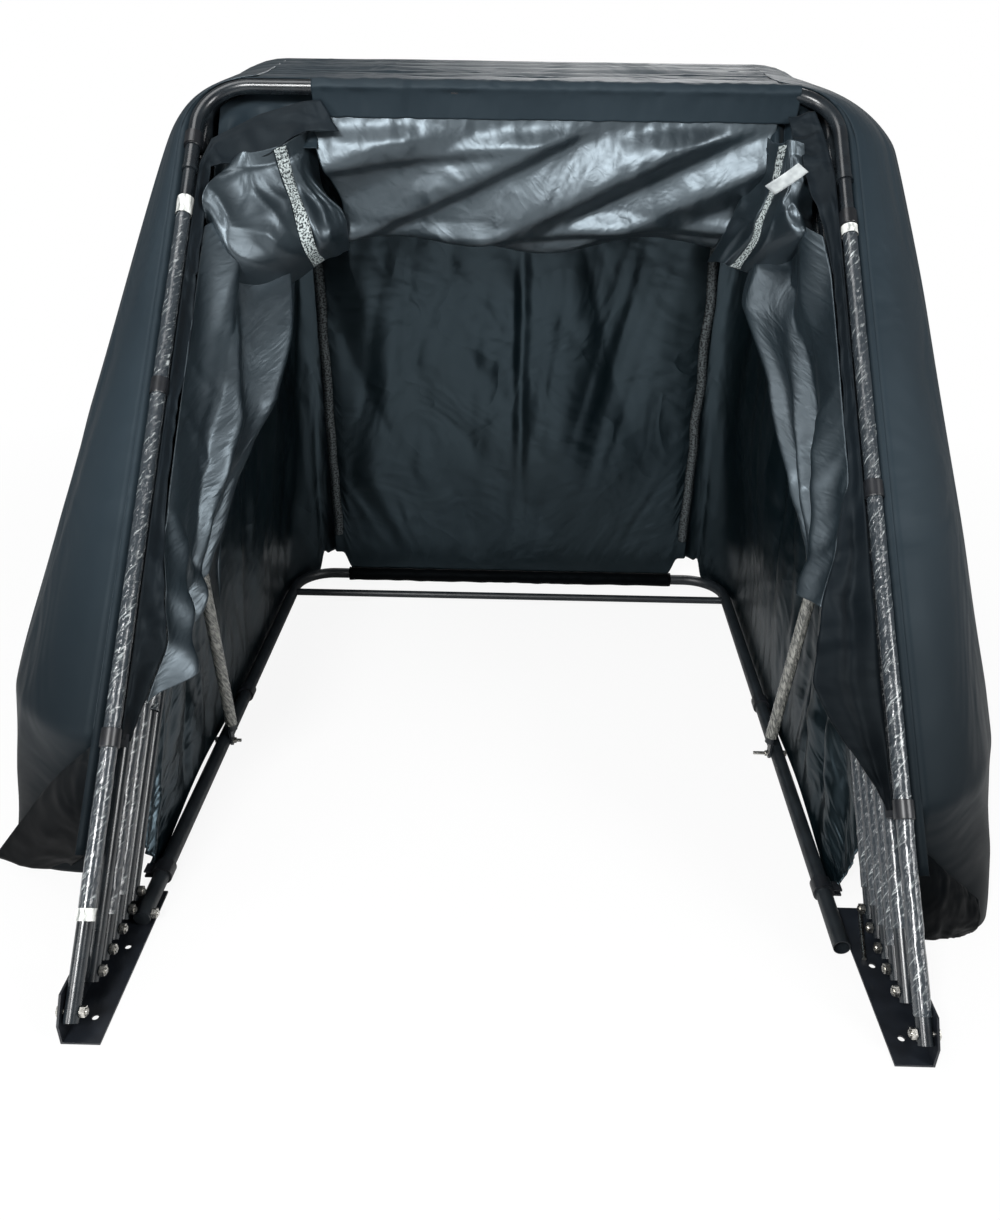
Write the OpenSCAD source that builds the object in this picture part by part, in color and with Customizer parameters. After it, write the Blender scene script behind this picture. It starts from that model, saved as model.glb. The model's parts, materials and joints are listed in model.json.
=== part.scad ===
// Folding scooter shelter: five steel hoops swing on bolts in two floor plates and carry
// a cloth cover; a sixth hoop, propped by struts, holds the cover's back wall.
// X runs across, Y towards the back, Z up. The origin is the middle of the four floor anchors.

/* [Hoops] */
// Distance from the middle plane to the middle of each hoop leg
hoop_half = 532; // [480:1:620]
// Length of the front hoop from its pivot to the middle of its top bar
hoop_reach = 1450; // [1300:5:1600]
// How much longer each hoop is than the one in front of it
reach_step = 13; // [8:1:18]
// Angle of the front hoop above the floor when folded back
lean = 45.6; // [44:0.1:50]
// How much flatter each hoop lies than the one in front of it
lean_step = 0.15; // [0.1:0.05:0.4]
// Outer diameter of the legs
leg_d = 20; // [16:0.5:21]
// Outer diameter of the bent top bars
top_d = 23; // [21:0.5:25]
// Bend radius of the hoop corners, at the tube's middle
bend_r = 85; // [60:1:120]
// Distance from the top bar's middle down to the joint with the legs
joint_drop = 174; // [150:1:220]
// Length of leg below the pivot bolt
leg_tail = 14; // [13:0.5:16]

/* [Pivots] */
// Height of the pivot bolts above the floor
pivot_z = 36; // [32:1:42]
// Distance from the origin forwards to the front hoop's pivot
pivot_front = 80; // [75:1:90]
// Spacing between the first and second pivot
front_gap = 66; // [58:1:80]
// Spacing between the other pivots
pivot_pitch = 37; // [36:0.5:42]
// Diameter of the pivot bolts
bolt_d = 8; // [6:0.5:9]

/* [Plates] */
// Thickness of the angle plates
plate_t = 3; // [2:0.5:4]
// Width of the plate's foot on the floor
foot_w = 50; // [45:1:56]
// Height of the plate's upright
plate_h = 62; // [56:1:75]
// Length of plate in front of the origin
plate_front = 100; // [92:1:115]
// Length of plate behind the origin
plate_back = 170; // [165:1:190]
// Spacing of the two anchor holes along a plate
anchor_pitch = 120; // [100:1:130]
// Diameter of the anchor holes
anchor_d = 9; // [7:0.5:11]
// Distance from the upright's outer face to the anchor holes
anchor_in = 29; // [26:0.5:32]

/* [Base] */
// Outer diameter of the floor rails and rear bar
rail_d = 24; // [20:0.5:26]
// Wall thickness of the open rail end
tube_wall = 1.2; // [0.8:0.1:2]
// Distance from the origin back to the middle of the rear bar
base_back = 1264; // [1240:1:1300]
// Diameter of the straight crossbar between the rails
crossbar_d = 16; // [12:0.5:20]
// Distance from the rear bar forwards to the crossbar
crossbar_in = 109; // [100:1:130]
// Gap between the loose right rail's open end and the plate beside it
loose_gap = 4; // [3:0.5:10]
// Distance from the origin back to the loose right rail's open end
loose_end = 82; // [70:1:100]
// Diameter of the struts that prop the rear hoop
strut_d = 18; // [14:0.5:20]
// Distance from the origin back to the struts' lower ends
strut_foot = 545; // [500:5:600]
// Distance along the rear hoop's legs from the pivots to the struts' upper ends
strut_reach = 585; // [540:5:640]

/* [Cover] */
// Thickness of the modelled cloth
cloth_t = 3; // [2:0.5:3.5]
// Left end of the front hoop's sleeve
sleeve_left = 345; // [340:1:400]
// Right end of the front hoop's sleeve
sleeve_right = 446; // [400:1:446]
// Depth of the front sleeve's stitched edge below the bar's middle
sleeve_drop = 45; // [34:1:50]
// How far the side cover stands out at the front, near the floor
flare = 205; // [150:5:260]
// How far the left cover stands out beside the top bars
shoulder_left = 32; // [20:1:50]
// How far the right cover stands out beside the top bars
shoulder_right = 80; // [50:1:100]
// Part of the left cover's stand-off at the floor that is not flare
hip_left = 32; // [0:1:50]
// Part of the right cover's stand-off at the floor that is not flare
hip_right = -20; // [-40:1:20]
// Depth of the slack roof below the top bars
roof_sag = 255; // [200:5:280]
// Height of the open corner notch beside the rear hem
hem_h = 60; // [40:1:80]

/* [Hidden] */

$fn = 48;
hoop_count = 6;
LEFT = -1;
RIGHT = 1;
bolt_clear = 0.1;
leg_gap = 0.6;
sleeve_gap = 0.3;
sleeve_wall = 2;
sleeve_r = top_d / 2 + sleeve_gap + sleeve_wall;
plate_in = hoop_half + leg_d / 2 + leg_gap;
plate_out = plate_in + plate_t;
foot_in = plate_out - foot_w;
nut_in = hoop_half - leg_d / 2 - leg_gap;
nut_t = 6.5;
head_t = 5;
nut_af = 13;
rail_z = plate_t + rail_d / 2;
rail_x = nut_in - rail_d / 2;
rail_bolt_y = pivot_y(5) + 15;
rail_end = rail_bolt_y - 12;
bar_end = hoop_half - bend_r;
base_bend_r = bend_r;
clip_r = leg_d / 2 + 4;
clip_len = 24;
clip_gap = 0.15;
clip_low_left = 345;
clip_mid_left = 880;
clip_low_right = 274;
clip_mid_right = 734;
clip_high_right = 1203;
clip_drop = reach(1) - joint_drop + 60;
joint_bead = 1.2;
clip_wall = 3.5;
clip_turn = 30;
strut_bolt_d = 6;
ear_t = 4;
ear_w = 18;
hem_half = 392;
seam_gap = 0.3;
clip_front_y = 200;
clip_mid = 5 / 12;
turn = 0.78;
panel_half = 424;
slack_half = panel_half + 16;
wall_start = 110;
wall_corner = 110;
cover_foot = 640;
steel = [0.06, 0.065, 0.07];
zinc = [0.78, 0.78, 0.76];
cloth = [0.10, 0.13, 0.15];
lining = [0.08, 0.09, 0.10];
plastic = [0.03, 0.03, 0.03];

function pivot_y(i) = i == 1 ? -pivot_front : front_gap - pivot_front + (i - 2) * pivot_pitch;
function reach(i) = hoop_reach + (i - 1) * reach_step;
function lean_of(i) = lean - (i - 1) * lean_step;
// A point on hoop i: across, and along the leg from its pivot
function on_hoop(i, x, s, out = 0) = [x,
    pivot_y(i) + s * cos(lean_of(i)) - out * sin(lean_of(i)),
    pivot_z + s * sin(lean_of(i)) + out * cos(lean_of(i))];
function mix(a, b, t) = a + (b - a) * t;
function bump(t) = pow(sin(180 * min(1, max(0, t))), 2);
function smooth(t) = let (c = min(1, max(0, t))) c * c * (3 - 2 * c);

// ---------- shared shapes ----------

module at_hoop(i) {
    translate([0, pivot_y(i), pivot_z])
        rotate([lean_of(i), 0, 0])
            children();
}

// A straight rod or tube between two points
module rod(a, b, d) {
    v = b - a;
    len = norm(v);
    translate(a)
        rotate([0, acos(v[2] / len), atan2(v[1], v[0])])
            cylinder(d = d, h = len);
}

// A quarter bend of round tube in the XY plane about its own centre
module quarter_bend(d, r, turn) {
    rotate([0, 0, turn])
        rotate_extrude(angle = 90)
            translate([r, 0])
                circle(d = d);
}

// A bar across X with a quarter bend and a short stub at both ends, all in the XY plane
module bent_bar(half, far, near, d, r) {
    translate([-half + r, far, 0])
        rotate([0, 90, 0])
            cylinder(d = d, h = 2 * (half - r));
    for (side = [LEFT, RIGHT]) {
        translate([side * (half - r), far - r, 0])
            quarter_bend(d, r, side == RIGHT ? 0 : 90);
        translate([side * half, near, 0])
            rotate([-90, 0, 0])
                cylinder(d = d, h = far - r - near);
    }
}

// A hexagon nut or bolt head with its axis along X, from x0 outwards by t
module hex(x0, t, af = nut_af) {
    translate([x0, 0, 0])
        rotate([0, 90, 0])
            cylinder(d = af / cos(30), h = t, $fn = 6);
}

// A closed sheet of cloth: grid is a list of rows of points
module cloth_sheet(grid, t = cloth_t) {
    rows = len(grid);
    cols = len(grid[0]);
    function pick(i, j) = grid[min(rows - 1, max(0, i))][min(cols - 1, max(0, j))];
    function along(i, j) = pick(i + 1, j) - pick(i - 1, j);
    function across(i, j) = pick(i, j + 1) - pick(i, j - 1);
    function unit(v) = v / max(norm(v), 0.000001);
    normals = [for (i = [0:rows - 1]) [for (j = [0:cols - 1]) unit(cross(along(i, j), across(i, j)))]];
    front = [for (i = [0:rows - 1]) for (j = [0:cols - 1]) grid[i][j] + normals[i][j] * t / 2];
    back = [for (i = [0:rows - 1]) for (j = [0:cols - 1]) grid[i][j] - normals[i][j] * t / 2];
    n = rows * cols;
    function at(i, j) = i * cols + j;
    cells = [for (i = [0:rows - 2]) for (j = [0:cols - 2]) [i, j]];
    rim = concat(
        [for (j = [0:cols - 2]) [at(0, j), at(0, j + 1)]],
        [for (i = [0:rows - 2]) [at(i, cols - 1), at(i + 1, cols - 1)]],
        [for (j = [cols - 1:-1:1]) [at(rows - 1, j), at(rows - 1, j - 1)]],
        [for (i = [rows - 1:-1:1]) [at(i, 0), at(i - 1, 0)]]);
    faces = concat(
        [for (c = cells) [at(c[0], c[1]), at(c[0] + 1, c[1] + 1), at(c[0] + 1, c[1])]],
        [for (c = cells) [at(c[0], c[1]), at(c[0], c[1] + 1), at(c[0] + 1, c[1] + 1)]],
        [for (c = cells) [n + at(c[0], c[1]), n + at(c[0] + 1, c[1]), n + at(c[0] + 1, c[1] + 1)]],
        [for (c = cells) [n + at(c[0], c[1]), n + at(c[0] + 1, c[1] + 1), n + at(c[0], c[1] + 1)]],
        [for (e = rim) [e[0], n + e[0], e[1]]],
        [for (e = rim) [e[1], n + e[0], n + e[1]]]);
    polyhedron(points = concat(front, back), faces = faces, convexity = 10);
}

// ---------- floor plates and bolts ----------

module plate(side) {
    chamfer = 22;
    color(steel)
        difference() {
            mirror([side == LEFT ? 1 : 0, 0, 0])
                union() {
                    translate([foot_in, -plate_front, 0])
                        cube([foot_w, plate_front + plate_back, plate_t]);
                    translate([plate_in, 0, 0])
                        rotate([90, 0, 90])
                            linear_extrude(plate_t)
                                polygon([[-plate_front, 0], [plate_back, 0],
                                    [plate_back, plate_h / 2], [plate_back - chamfer, plate_h],
                                    [-plate_front + chamfer, plate_h], [-plate_front, plate_h / 2]]);
                }
            for (i = [1:hoop_count])
                translate([0, pivot_y(i), pivot_z])
                    pivot_hole(side);
            translate([0, -pivot_front + front_gap / 2, pivot_z / 2])
                pivot_hole(side);
            translate([0, rail_bolt_y, rail_z])
                pivot_hole(side);
            for (y = [-anchor_pitch / 2, anchor_pitch / 2])
                translate([side * (plate_out - anchor_in), y, -1])
                    cylinder(d = anchor_d, h = plate_t + 2);
        }
}

module pivot_hole(side) {
    translate([side * (plate_in - 1), 0, 0])
        rotate([0, side * 90, 0])
            cylinder(d = bolt_d + 2 * bolt_clear, h = plate_t + 2);
}

// A bolt through the plate's upright: the nut seats at x = seat, the head outside
module plate_bolt(side, y, z, seat) {
    translate([0, y, z])
        mirror([side == LEFT ? 1 : 0, 0, 0]) {
            translate([seat - nut_t - 2, 0, 0])
                rotate([0, 90, 0])
                    cylinder(d = bolt_d, h = plate_out - seat + nut_t + 2);
            hex(seat - nut_t, nut_t);
            hex(plate_out, head_t);
        }
}

module pivot_bolts(side) {
    color(zinc) {
        for (i = [1:hoop_count])
            plate_bolt(side, pivot_y(i), pivot_z, nut_in);
        if (side == LEFT)
            plate_bolt(side, rail_bolt_y, rail_z, rail_x - rail_d / 2);
    }
}

// ---------- hoops ----------

module hoop_leg(i, side) {
    color(steel)
        at_hoop(i)
            difference() {
                translate([side * hoop_half, -leg_tail, 0])
                    rotate([-90, 0, 0])
                        cylinder(d = leg_d, h = reach(i) - joint_drop + leg_tail);
                translate([side * hoop_half, -leg_tail - 1, 0])
                    rotate([-90, 0, 0])
                        cylinder(d = leg_d - 2 * tube_wall, h = reach(i) - joint_drop - 20);
                translate([side * hoop_half - leg_d, 0, 0])
                    rotate([0, 90, 0])
                        cylinder(d = bolt_d + 2 * bolt_clear, h = 2 * leg_d);
                if (i == hoop_count)
                    translate([side * hoop_half - leg_d, strut_reach, 0])
                        rotate([0, 90, 0])
                            cylinder(d = strut_bolt_d + 2 * bolt_clear, h = 2 * leg_d);
            }
}

module hoop_top(i) {
    color(steel)
        at_hoop(i)
            union() {
                bent_bar(hoop_half, reach(i), reach(i) - joint_drop, top_d, bend_r);
                for (side = [LEFT, RIGHT])
                    translate([side * hoop_half, reach(i) - joint_drop, 0])
                        rotate([-90, 0, 0])
                            cylinder(d = top_d + 2 * joint_bead, h = 6);
            }
}

// Cloth tube round a top bar; the front hoop's has its stitched edge hanging below
module hoop_sleeve(i) {
    color(cloth)
        translate(on_hoop(i, i == 1 ? -sleeve_left : -bar_end, reach(i)))
            rotate([90, 0, 90])
                linear_extrude(i == 1 ? sleeve_left + sleeve_right : 2 * bar_end)
                    difference() {
                        union() {
                            circle(r = sleeve_r);
                            if (i == 1)
                                translate([-sleeve_wall, -sleeve_drop])
                                    square([2 * sleeve_wall, sleeve_drop]);
                        }
                        circle(r = sleeve_r - sleeve_wall);
                    }
}

// Plastic ring with a two-jaw clamp for the cloth; the ring's axis is along Y, the jaws point
// to -Z and turn about the ring
module clip(d, turn) {
    r = d / 2 + clip_gap;
    rotate([0, turn, 0])
        difference() {
            union() {
                translate([0, -clip_len / 2, 0])
                    rotate([-90, 0, 0])
                        cylinder(r = r + clip_wall, h = clip_len);
                for (x = [-6, 3])
                    translate([x, -clip_len / 2 + 3, -r - 15])
                        cube([3, clip_len - 6, 14]);
            }
            translate([0, -clip_len, 0])
                rotate([-90, 0, 0])
                    cylinder(r = r, h = 2 * clip_len);
        }
}

module hoop_clips() {
    color(plastic)
        at_hoop(1) {
            for (s = [clip_low_left, clip_mid_left])
                translate([-hoop_half, s, 0])
                    clip(leg_d, -clip_turn);
            translate([-hoop_half, clip_drop, 0])
                clip(top_d, -clip_turn);
            for (s = [clip_low_right, clip_mid_right, clip_high_right])
                translate([hoop_half, s, 0])
                    clip(leg_d, clip_turn);
        }
}

// ---------- base frame ----------

base_from = base_back - crossbar_in - crossbar_d;
loose_x = foot_in - loose_gap - rail_d / 2;
loose_z = rail_z - plate_t;
function rail_side_x(side, y) = side == LEFT ? rail_x
    : mix(loose_x, rail_x, (y - loose_end) / (base_from - loose_end));
function rail_side_z(side, y) = side == LEFT ? rail_z
    : mix(loose_z, rail_z, (y - loose_end) / (base_from - loose_end));

module rear_bar() {
    color(steel)
        translate([0, 0, rail_z])
            bent_bar(rail_x, base_back, base_from, rail_d, base_bend_r);
}

module rail_left() {
    color(steel)
        difference() {
            translate([-rail_x, rail_end, rail_z])
                rotate([-90, 0, 0])
                    cylinder(d = rail_d, h = base_from - rail_end);
            translate([-rail_x - rail_d, rail_bolt_y, rail_z])
                rotate([0, 90, 0])
                    cylinder(d = bolt_d + 2 * bolt_clear, h = 2 * rail_d);
            translate([-rail_x - rail_d, strut_foot, rail_z])
                rotate([0, 90, 0])
                    cylinder(d = strut_bolt_d + 2 * bolt_clear, h = 2 * rail_d);
        }
}

// The rail that is not bolted on yet: its open end lies on the floor beside the plate
module rail_right() {
    tail = [rail_x, base_from, rail_z];
    tip = [loose_x, loose_end, loose_z];
    color(steel)
        difference() {
            rod(tail, tip, rail_d);
            rod(mix(tip, tail, 0.1), tip + (tip - tail) * 0.01, rail_d - 2 * tube_wall);
            translate([0, strut_foot, rail_side_z(RIGHT, strut_foot)])
                rotate([0, 90, 0])
                    cylinder(d = strut_bolt_d + 2 * bolt_clear, h = hoop_half);
        }
}

module crossbar() {
    y = base_back - crossbar_in;
    color(steel)
        difference() {
            translate([-rail_x, y, rail_z])
                rotate([0, 90, 0])
                    cylinder(d = crossbar_d, h = 2 * rail_x);
            for (side = [LEFT, RIGHT])
                translate([side * rail_x, y - rail_d, rail_z])
                    rotate([-90, 0, 0])
                        cylinder(d = rail_d + 0.2, h = 2 * rail_d);
        }
}

// A strut: a flat ear bolted to the rail's inner face, a tube, and an ear on the hoop's leg
module strut(side) {
    rail_in = rail_side_x(side, strut_foot) - rail_d / 2;
    leg_in = hoop_half - leg_d / 2;
    foot = [side * (rail_in - ear_t / 2 - 0.2), strut_foot, rail_side_z(side, strut_foot)];
    head = on_hoop(hoop_count, side * (leg_in - ear_t / 2 - 0.2), strut_reach);
    low = mix(foot, head, 0.055) - [side * 4, 0, 0];
    high = mix(foot, head, 0.955) - [side * 4, 0, 0];
    color(steel)
        difference() {
            union() {
                rod(low, high, strut_d);
                ear(foot, 34);
                translate(head)
                    rotate([180, 0, 0])
                        ear([0, 0, 0], 30);
            }
            for (p = [foot, head])
                translate(p - [ear_t, 0, 0])
                    rotate([0, 90, 0])
                        cylinder(d = strut_bolt_d + 2 * bolt_clear, h = 2 * ear_t);
        }
}

// A flat ear with a round end at p, reaching up by h
module ear(p, h) {
    translate(p - [ear_t / 2, 0, 0])
        rotate([0, 90, 0])
            linear_extrude(ear_t)
                union() {
                    circle(d = ear_w);
                    translate([-h, -ear_w / 2])
                        square([h, ear_w]);
                }
}

// Bolts that hold the struts: one through each rail, one through each leg
module strut_bolts() {
    out = 14;
    for (side = [LEFT, RIGHT]) {
        rail_mid = rail_side_x(side, strut_foot);
        foot = [side * rail_mid, strut_foot, rail_side_z(side, strut_foot)];
        head = on_hoop(hoop_count, side * hoop_half, strut_reach);
        color(zinc) {
            strut_bolt(side, foot, rail_d, side == RIGHT ? 26 : out);
            strut_bolt(side, head, leg_d, out);
        }
    }
}

module strut_bolt(side, p, d, out) {
    translate(p)
        mirror([side == LEFT ? 1 : 0, 0, 0]) {
            seat = d / 2 + ear_t + 0.4;
            translate([-seat - out, 0, 0])
                rotate([0, 90, 0])
                    cylinder(d = strut_bolt_d, h = seat + out + d / 2 + 0.2);
            hex(-seat - 5, 5, 10);
            hex(d / 2 + 0.2, 4, 10);
        }
}

// Clips on the rails, jaws pointing out to the side cloth
module rail_clips() {
    color(plastic)
        for (side = [LEFT, RIGHT])
            for (y = [clip_front_y, mix(clip_front_y, base_back - wall_corner, clip_mid / turn)])
                translate([side * rail_side_x(side, y), y, rail_side_z(side, y)])
                    rotate([0, 0, side == RIGHT ? -loose_turn : 0])
                        clip(rail_d, side * -90);
}
loose_turn = atan2(rail_x - loose_x, base_from - loose_end);

// The long bolt of the loose rail, lying on the right plate's foot
module loose_bolt() {
    color(zinc)
        translate([foot_in + 12, 68, plate_t + 3.1])
            rotate([-90, 0, -13])
                cylinder(d = 6, h = 86);
}

// ---------- cover ----------

module hem_sleeve() {
    color(cloth)
        translate([-hem_half, base_back, rail_z])
            rotate([0, 90, 0])
                linear_extrude(2 * hem_half)
                    difference() {
                        circle(r = rail_d / 2 + sleeve_gap + sleeve_wall);
                        circle(r = rail_d / 2 + sleeve_gap);
                    }
}

bar_top = on_hoop(hoop_count, 0, reach(hoop_count));

// Back wall: from the rear bar's hem up to the rear hoop's sleeve, slightly hollow
module back_panel() {
    rows = 9;
    cols = 11;
    low = rail_z + rail_d / 2 + sleeve_gap + sleeve_wall + seam_gap;
    color(lining)
        cloth_sheet([for (i = [0:rows]) let (v = i / rows)
            [for (j = [0:cols]) let (u = 2 * j / cols - 1, edge = pow(abs(u), 8))
                [panel_half * u,
                    mix(base_back, bar_top[1], v) - 26 * sin(180 * v) * (1 - u * u),
                    mix(low + hem_h * edge, bar_top[2] - sleeve_r - seam_gap, v)]]]);
}

// Side wall between the rail, the rear hoop's leg and the back wall
module side_wall(side) {
    rows = 8;
    cols = 12;
    function low(u) = let (y = mix(clip_front_y, base_back - wall_corner, u / turn))
        [rail_side_x(side, y) + rail_d / 2 + 12, y,
            rail_z + 6 + seam_gap + 22 * pow(sin(180 * u / clip_mid), 2)];
    function high(u) = on_hoop(hoop_count, hoop_half,
        mix(wall_start, reach(hoop_count) - bend_r - 25, min(1, u / turn)),
        -top_d / 2 - joint_bead - seam_gap);
    function rear(v) = [panel_half + 7,
        mix(base_back - 6, bar_top[1] - 4, v),
        mix(rail_z + 20 + hem_h, bar_top[2] - sleeve_r - 16, v)];
    color(cloth)
        cloth_sheet([for (i = [0:rows]) let (v = i / rows)
            [for (j = [0:cols]) let (u = j / cols,
                k = smooth((u - turn) / (1 - turn)),
                flat = mix(low(u), high(u), v),
                bow = 50 * smooth((u - 0.45) / 0.35) * bump(v) * (1 - k),
                p = mix(flat - [bow, 0, 0], rear(v), k))
                [side * p[0], p[1], p[2]]]]);
}

// Slack side cloth hanging outside the legs down to the floor
module side_cover(side) {
    rows = 9;
    cols = 9;
    start = hoop_half + leg_d / 2 + 15;
    sewn = hoop_half + top_d / 2 + joint_bead + seam_gap + cloth_t / 2;
    top = on_hoop(1, 0, reach(1) - bend_r - 20);
    clip_p = on_hoop(1, 0, side == LEFT ? clip_low_left : clip_low_right);
    foot = side == LEFT ? 40 : 0;
    shoulder = side == LEFT ? shoulder_left : shoulder_right;
    hip = side == LEFT ? hip_left : hip_right;
    function front_y(z) = z < clip_p[2] ? mix(clip_p[1] + foot, clip_p[1], z / clip_p[2])
        : clip_p[1] + (z - clip_p[2]) / tan(lean);
    function rear_y(z) = mix(cover_foot, on_hoop(hoop_count, 0, reach(1) - bend_r)[1] - 6, z / top[2]);
    color(cloth)
        cloth_sheet([for (i = [0:rows]) let (v = i / rows)
            [for (j = [0:cols]) let (u = j / cols,
                z = mix(3 + 40 * u * u, top[2], v),
                out = (flare * pow(1 - v, 0.9) + mix(hip, shoulder, v))
                    * pow(sin(180 * pow(u, 0.75)), 0.8))
                [side * (mix(start, sewn, smooth((u - 0.8) / 0.2)) + out),
                    mix(front_y(z), rear_y(z), u), z]]]);
}

// Slack side cloth hanging inside the legs, its lower edge rising from the front to the strut
module side_lining(side) {
    rows = 8;
    cols = 7;
    start = hoop_half - 27;
    sewn = hoop_half - top_d / 2 - joint_bead - seam_gap - cloth_t / 2;
    color(lining)
        cloth_sheet([for (i = [0:rows]) let (v = i / rows)
            [for (j = [0:cols]) let (u = j / cols,
                s = mix(mix(clip_low_left, strut_reach + 45, u),
                    mix(reach(1), reach(hoop_count), u) - bend_r - 30, v),
                y0 = mix(pivot_y(1), pivot_y(hoop_count), u),
                a = mix(lean, lean_of(hoop_count), u),
                inward = 42 * sin(180 * u) * (0.5 + 0.5 * sin(180 * v)))
                [side * (mix(start, sewn, smooth((u - 0.86) / 0.14)) - inward),
                    y0 + s * cos(a), pivot_z + s * sin(a)]]]);
}

// Slack roof cloth hanging between the front and rear bars
module roof_slack() {
    rows = 10;
    cols = 11;
    front = on_hoop(1, 0, reach(1)) + [0, 12, -28];
    rear = bar_top - (sleeve_r + seam_gap + cloth_t / 4) * [0, sin(40), cos(40)];
    color(lining)
        cloth_sheet([for (i = [0:rows]) let (w = i / rows, p = mix(front, rear, w))
            [for (j = [0:cols]) let (u = 2 * j / cols - 1,
                sag = roof_sag * (0.95 + 0.05 * cos(270 * u)) * pow(sin(180 * w), 0.6))
                [slack_half * u, p[1], p[2] - sag]]]);
}

// ---------- sub-parts ----------

module plate_left() { plate(LEFT); }
module plate_right() { plate(RIGHT); }
module pivot_bolts_left() { pivot_bolts(LEFT); }
module pivot_bolts_right() { pivot_bolts(RIGHT); }
module strut_left() { strut(LEFT); }
module strut_right() { strut(RIGHT); }
module side_wall_left() { side_wall(LEFT); }
module side_wall_right() { side_wall(RIGHT); }
module side_cover_left() { side_cover(LEFT); }
module side_cover_right() { side_cover(RIGHT); }
module side_lining_left() { side_lining(LEFT); }
module side_lining_right() { side_lining(RIGHT); }
module hoop_1_top() { hoop_top(1); }
module hoop_1_leg_left() { hoop_leg(1, LEFT); }
module hoop_1_leg_right() { hoop_leg(1, RIGHT); }
module hoop_1_sleeve() { hoop_sleeve(1); }
module hoop_2_top() { hoop_top(2); }
module hoop_2_leg_left() { hoop_leg(2, LEFT); }
module hoop_2_leg_right() { hoop_leg(2, RIGHT); }
module hoop_2_sleeve() { hoop_sleeve(2); }
module hoop_3_top() { hoop_top(3); }
module hoop_3_leg_left() { hoop_leg(3, LEFT); }
module hoop_3_leg_right() { hoop_leg(3, RIGHT); }
module hoop_3_sleeve() { hoop_sleeve(3); }
module hoop_4_top() { hoop_top(4); }
module hoop_4_leg_left() { hoop_leg(4, LEFT); }
module hoop_4_leg_right() { hoop_leg(4, RIGHT); }
module hoop_4_sleeve() { hoop_sleeve(4); }
module hoop_5_top() { hoop_top(5); }
module hoop_5_leg_left() { hoop_leg(5, LEFT); }
module hoop_5_leg_right() { hoop_leg(5, RIGHT); }
module hoop_5_sleeve() { hoop_sleeve(5); }
module hoop_6_top() { hoop_top(6); }
module hoop_6_leg_left() { hoop_leg(6, LEFT); }
module hoop_6_leg_right() { hoop_leg(6, RIGHT); }
module hoop_6_sleeve() { hoop_sleeve(6); }
module hoop_1_clips() { hoop_clips(); }

plate_left();
plate_right();
pivot_bolts_left();
pivot_bolts_right();
rail_left();
rail_right();
rear_bar();
crossbar();
strut_left();
strut_right();
strut_bolts();
rail_clips();
loose_bolt();
hem_sleeve();
back_panel();
side_wall_left();
side_wall_right();
side_cover_left();
side_cover_right();
side_lining_left();
side_lining_right();
roof_slack();
hoop_1_top();
hoop_1_leg_left();
hoop_1_leg_right();
hoop_1_sleeve();
hoop_1_clips();
hoop_2_top();
hoop_2_leg_left();
hoop_2_leg_right();
hoop_2_sleeve();
hoop_3_top();
hoop_3_leg_left();
hoop_3_leg_right();
hoop_3_sleeve();
hoop_4_top();
hoop_4_leg_left();
hoop_4_leg_right();
hoop_4_sleeve();
hoop_5_top();
hoop_5_leg_left();
hoop_5_leg_right();
hoop_5_sleeve();
hoop_6_top();
hoop_6_leg_left();
hoop_6_leg_right();
hoop_6_sleeve();
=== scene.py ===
# %% [markdown]
# # Folding scooter shelter
# The shelter is a fan of six steel hoops that swing on two floor plates, under a cover of
# coated cloth. It stands folded back and open, so most of the cloth hangs slack. The packed
# model gives the steel exactly; this lesson adds the cloth, the packing film that is still on
# the tubes, and a material for every surface.

# %% Load the frame and keep its box
import json
import math

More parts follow.
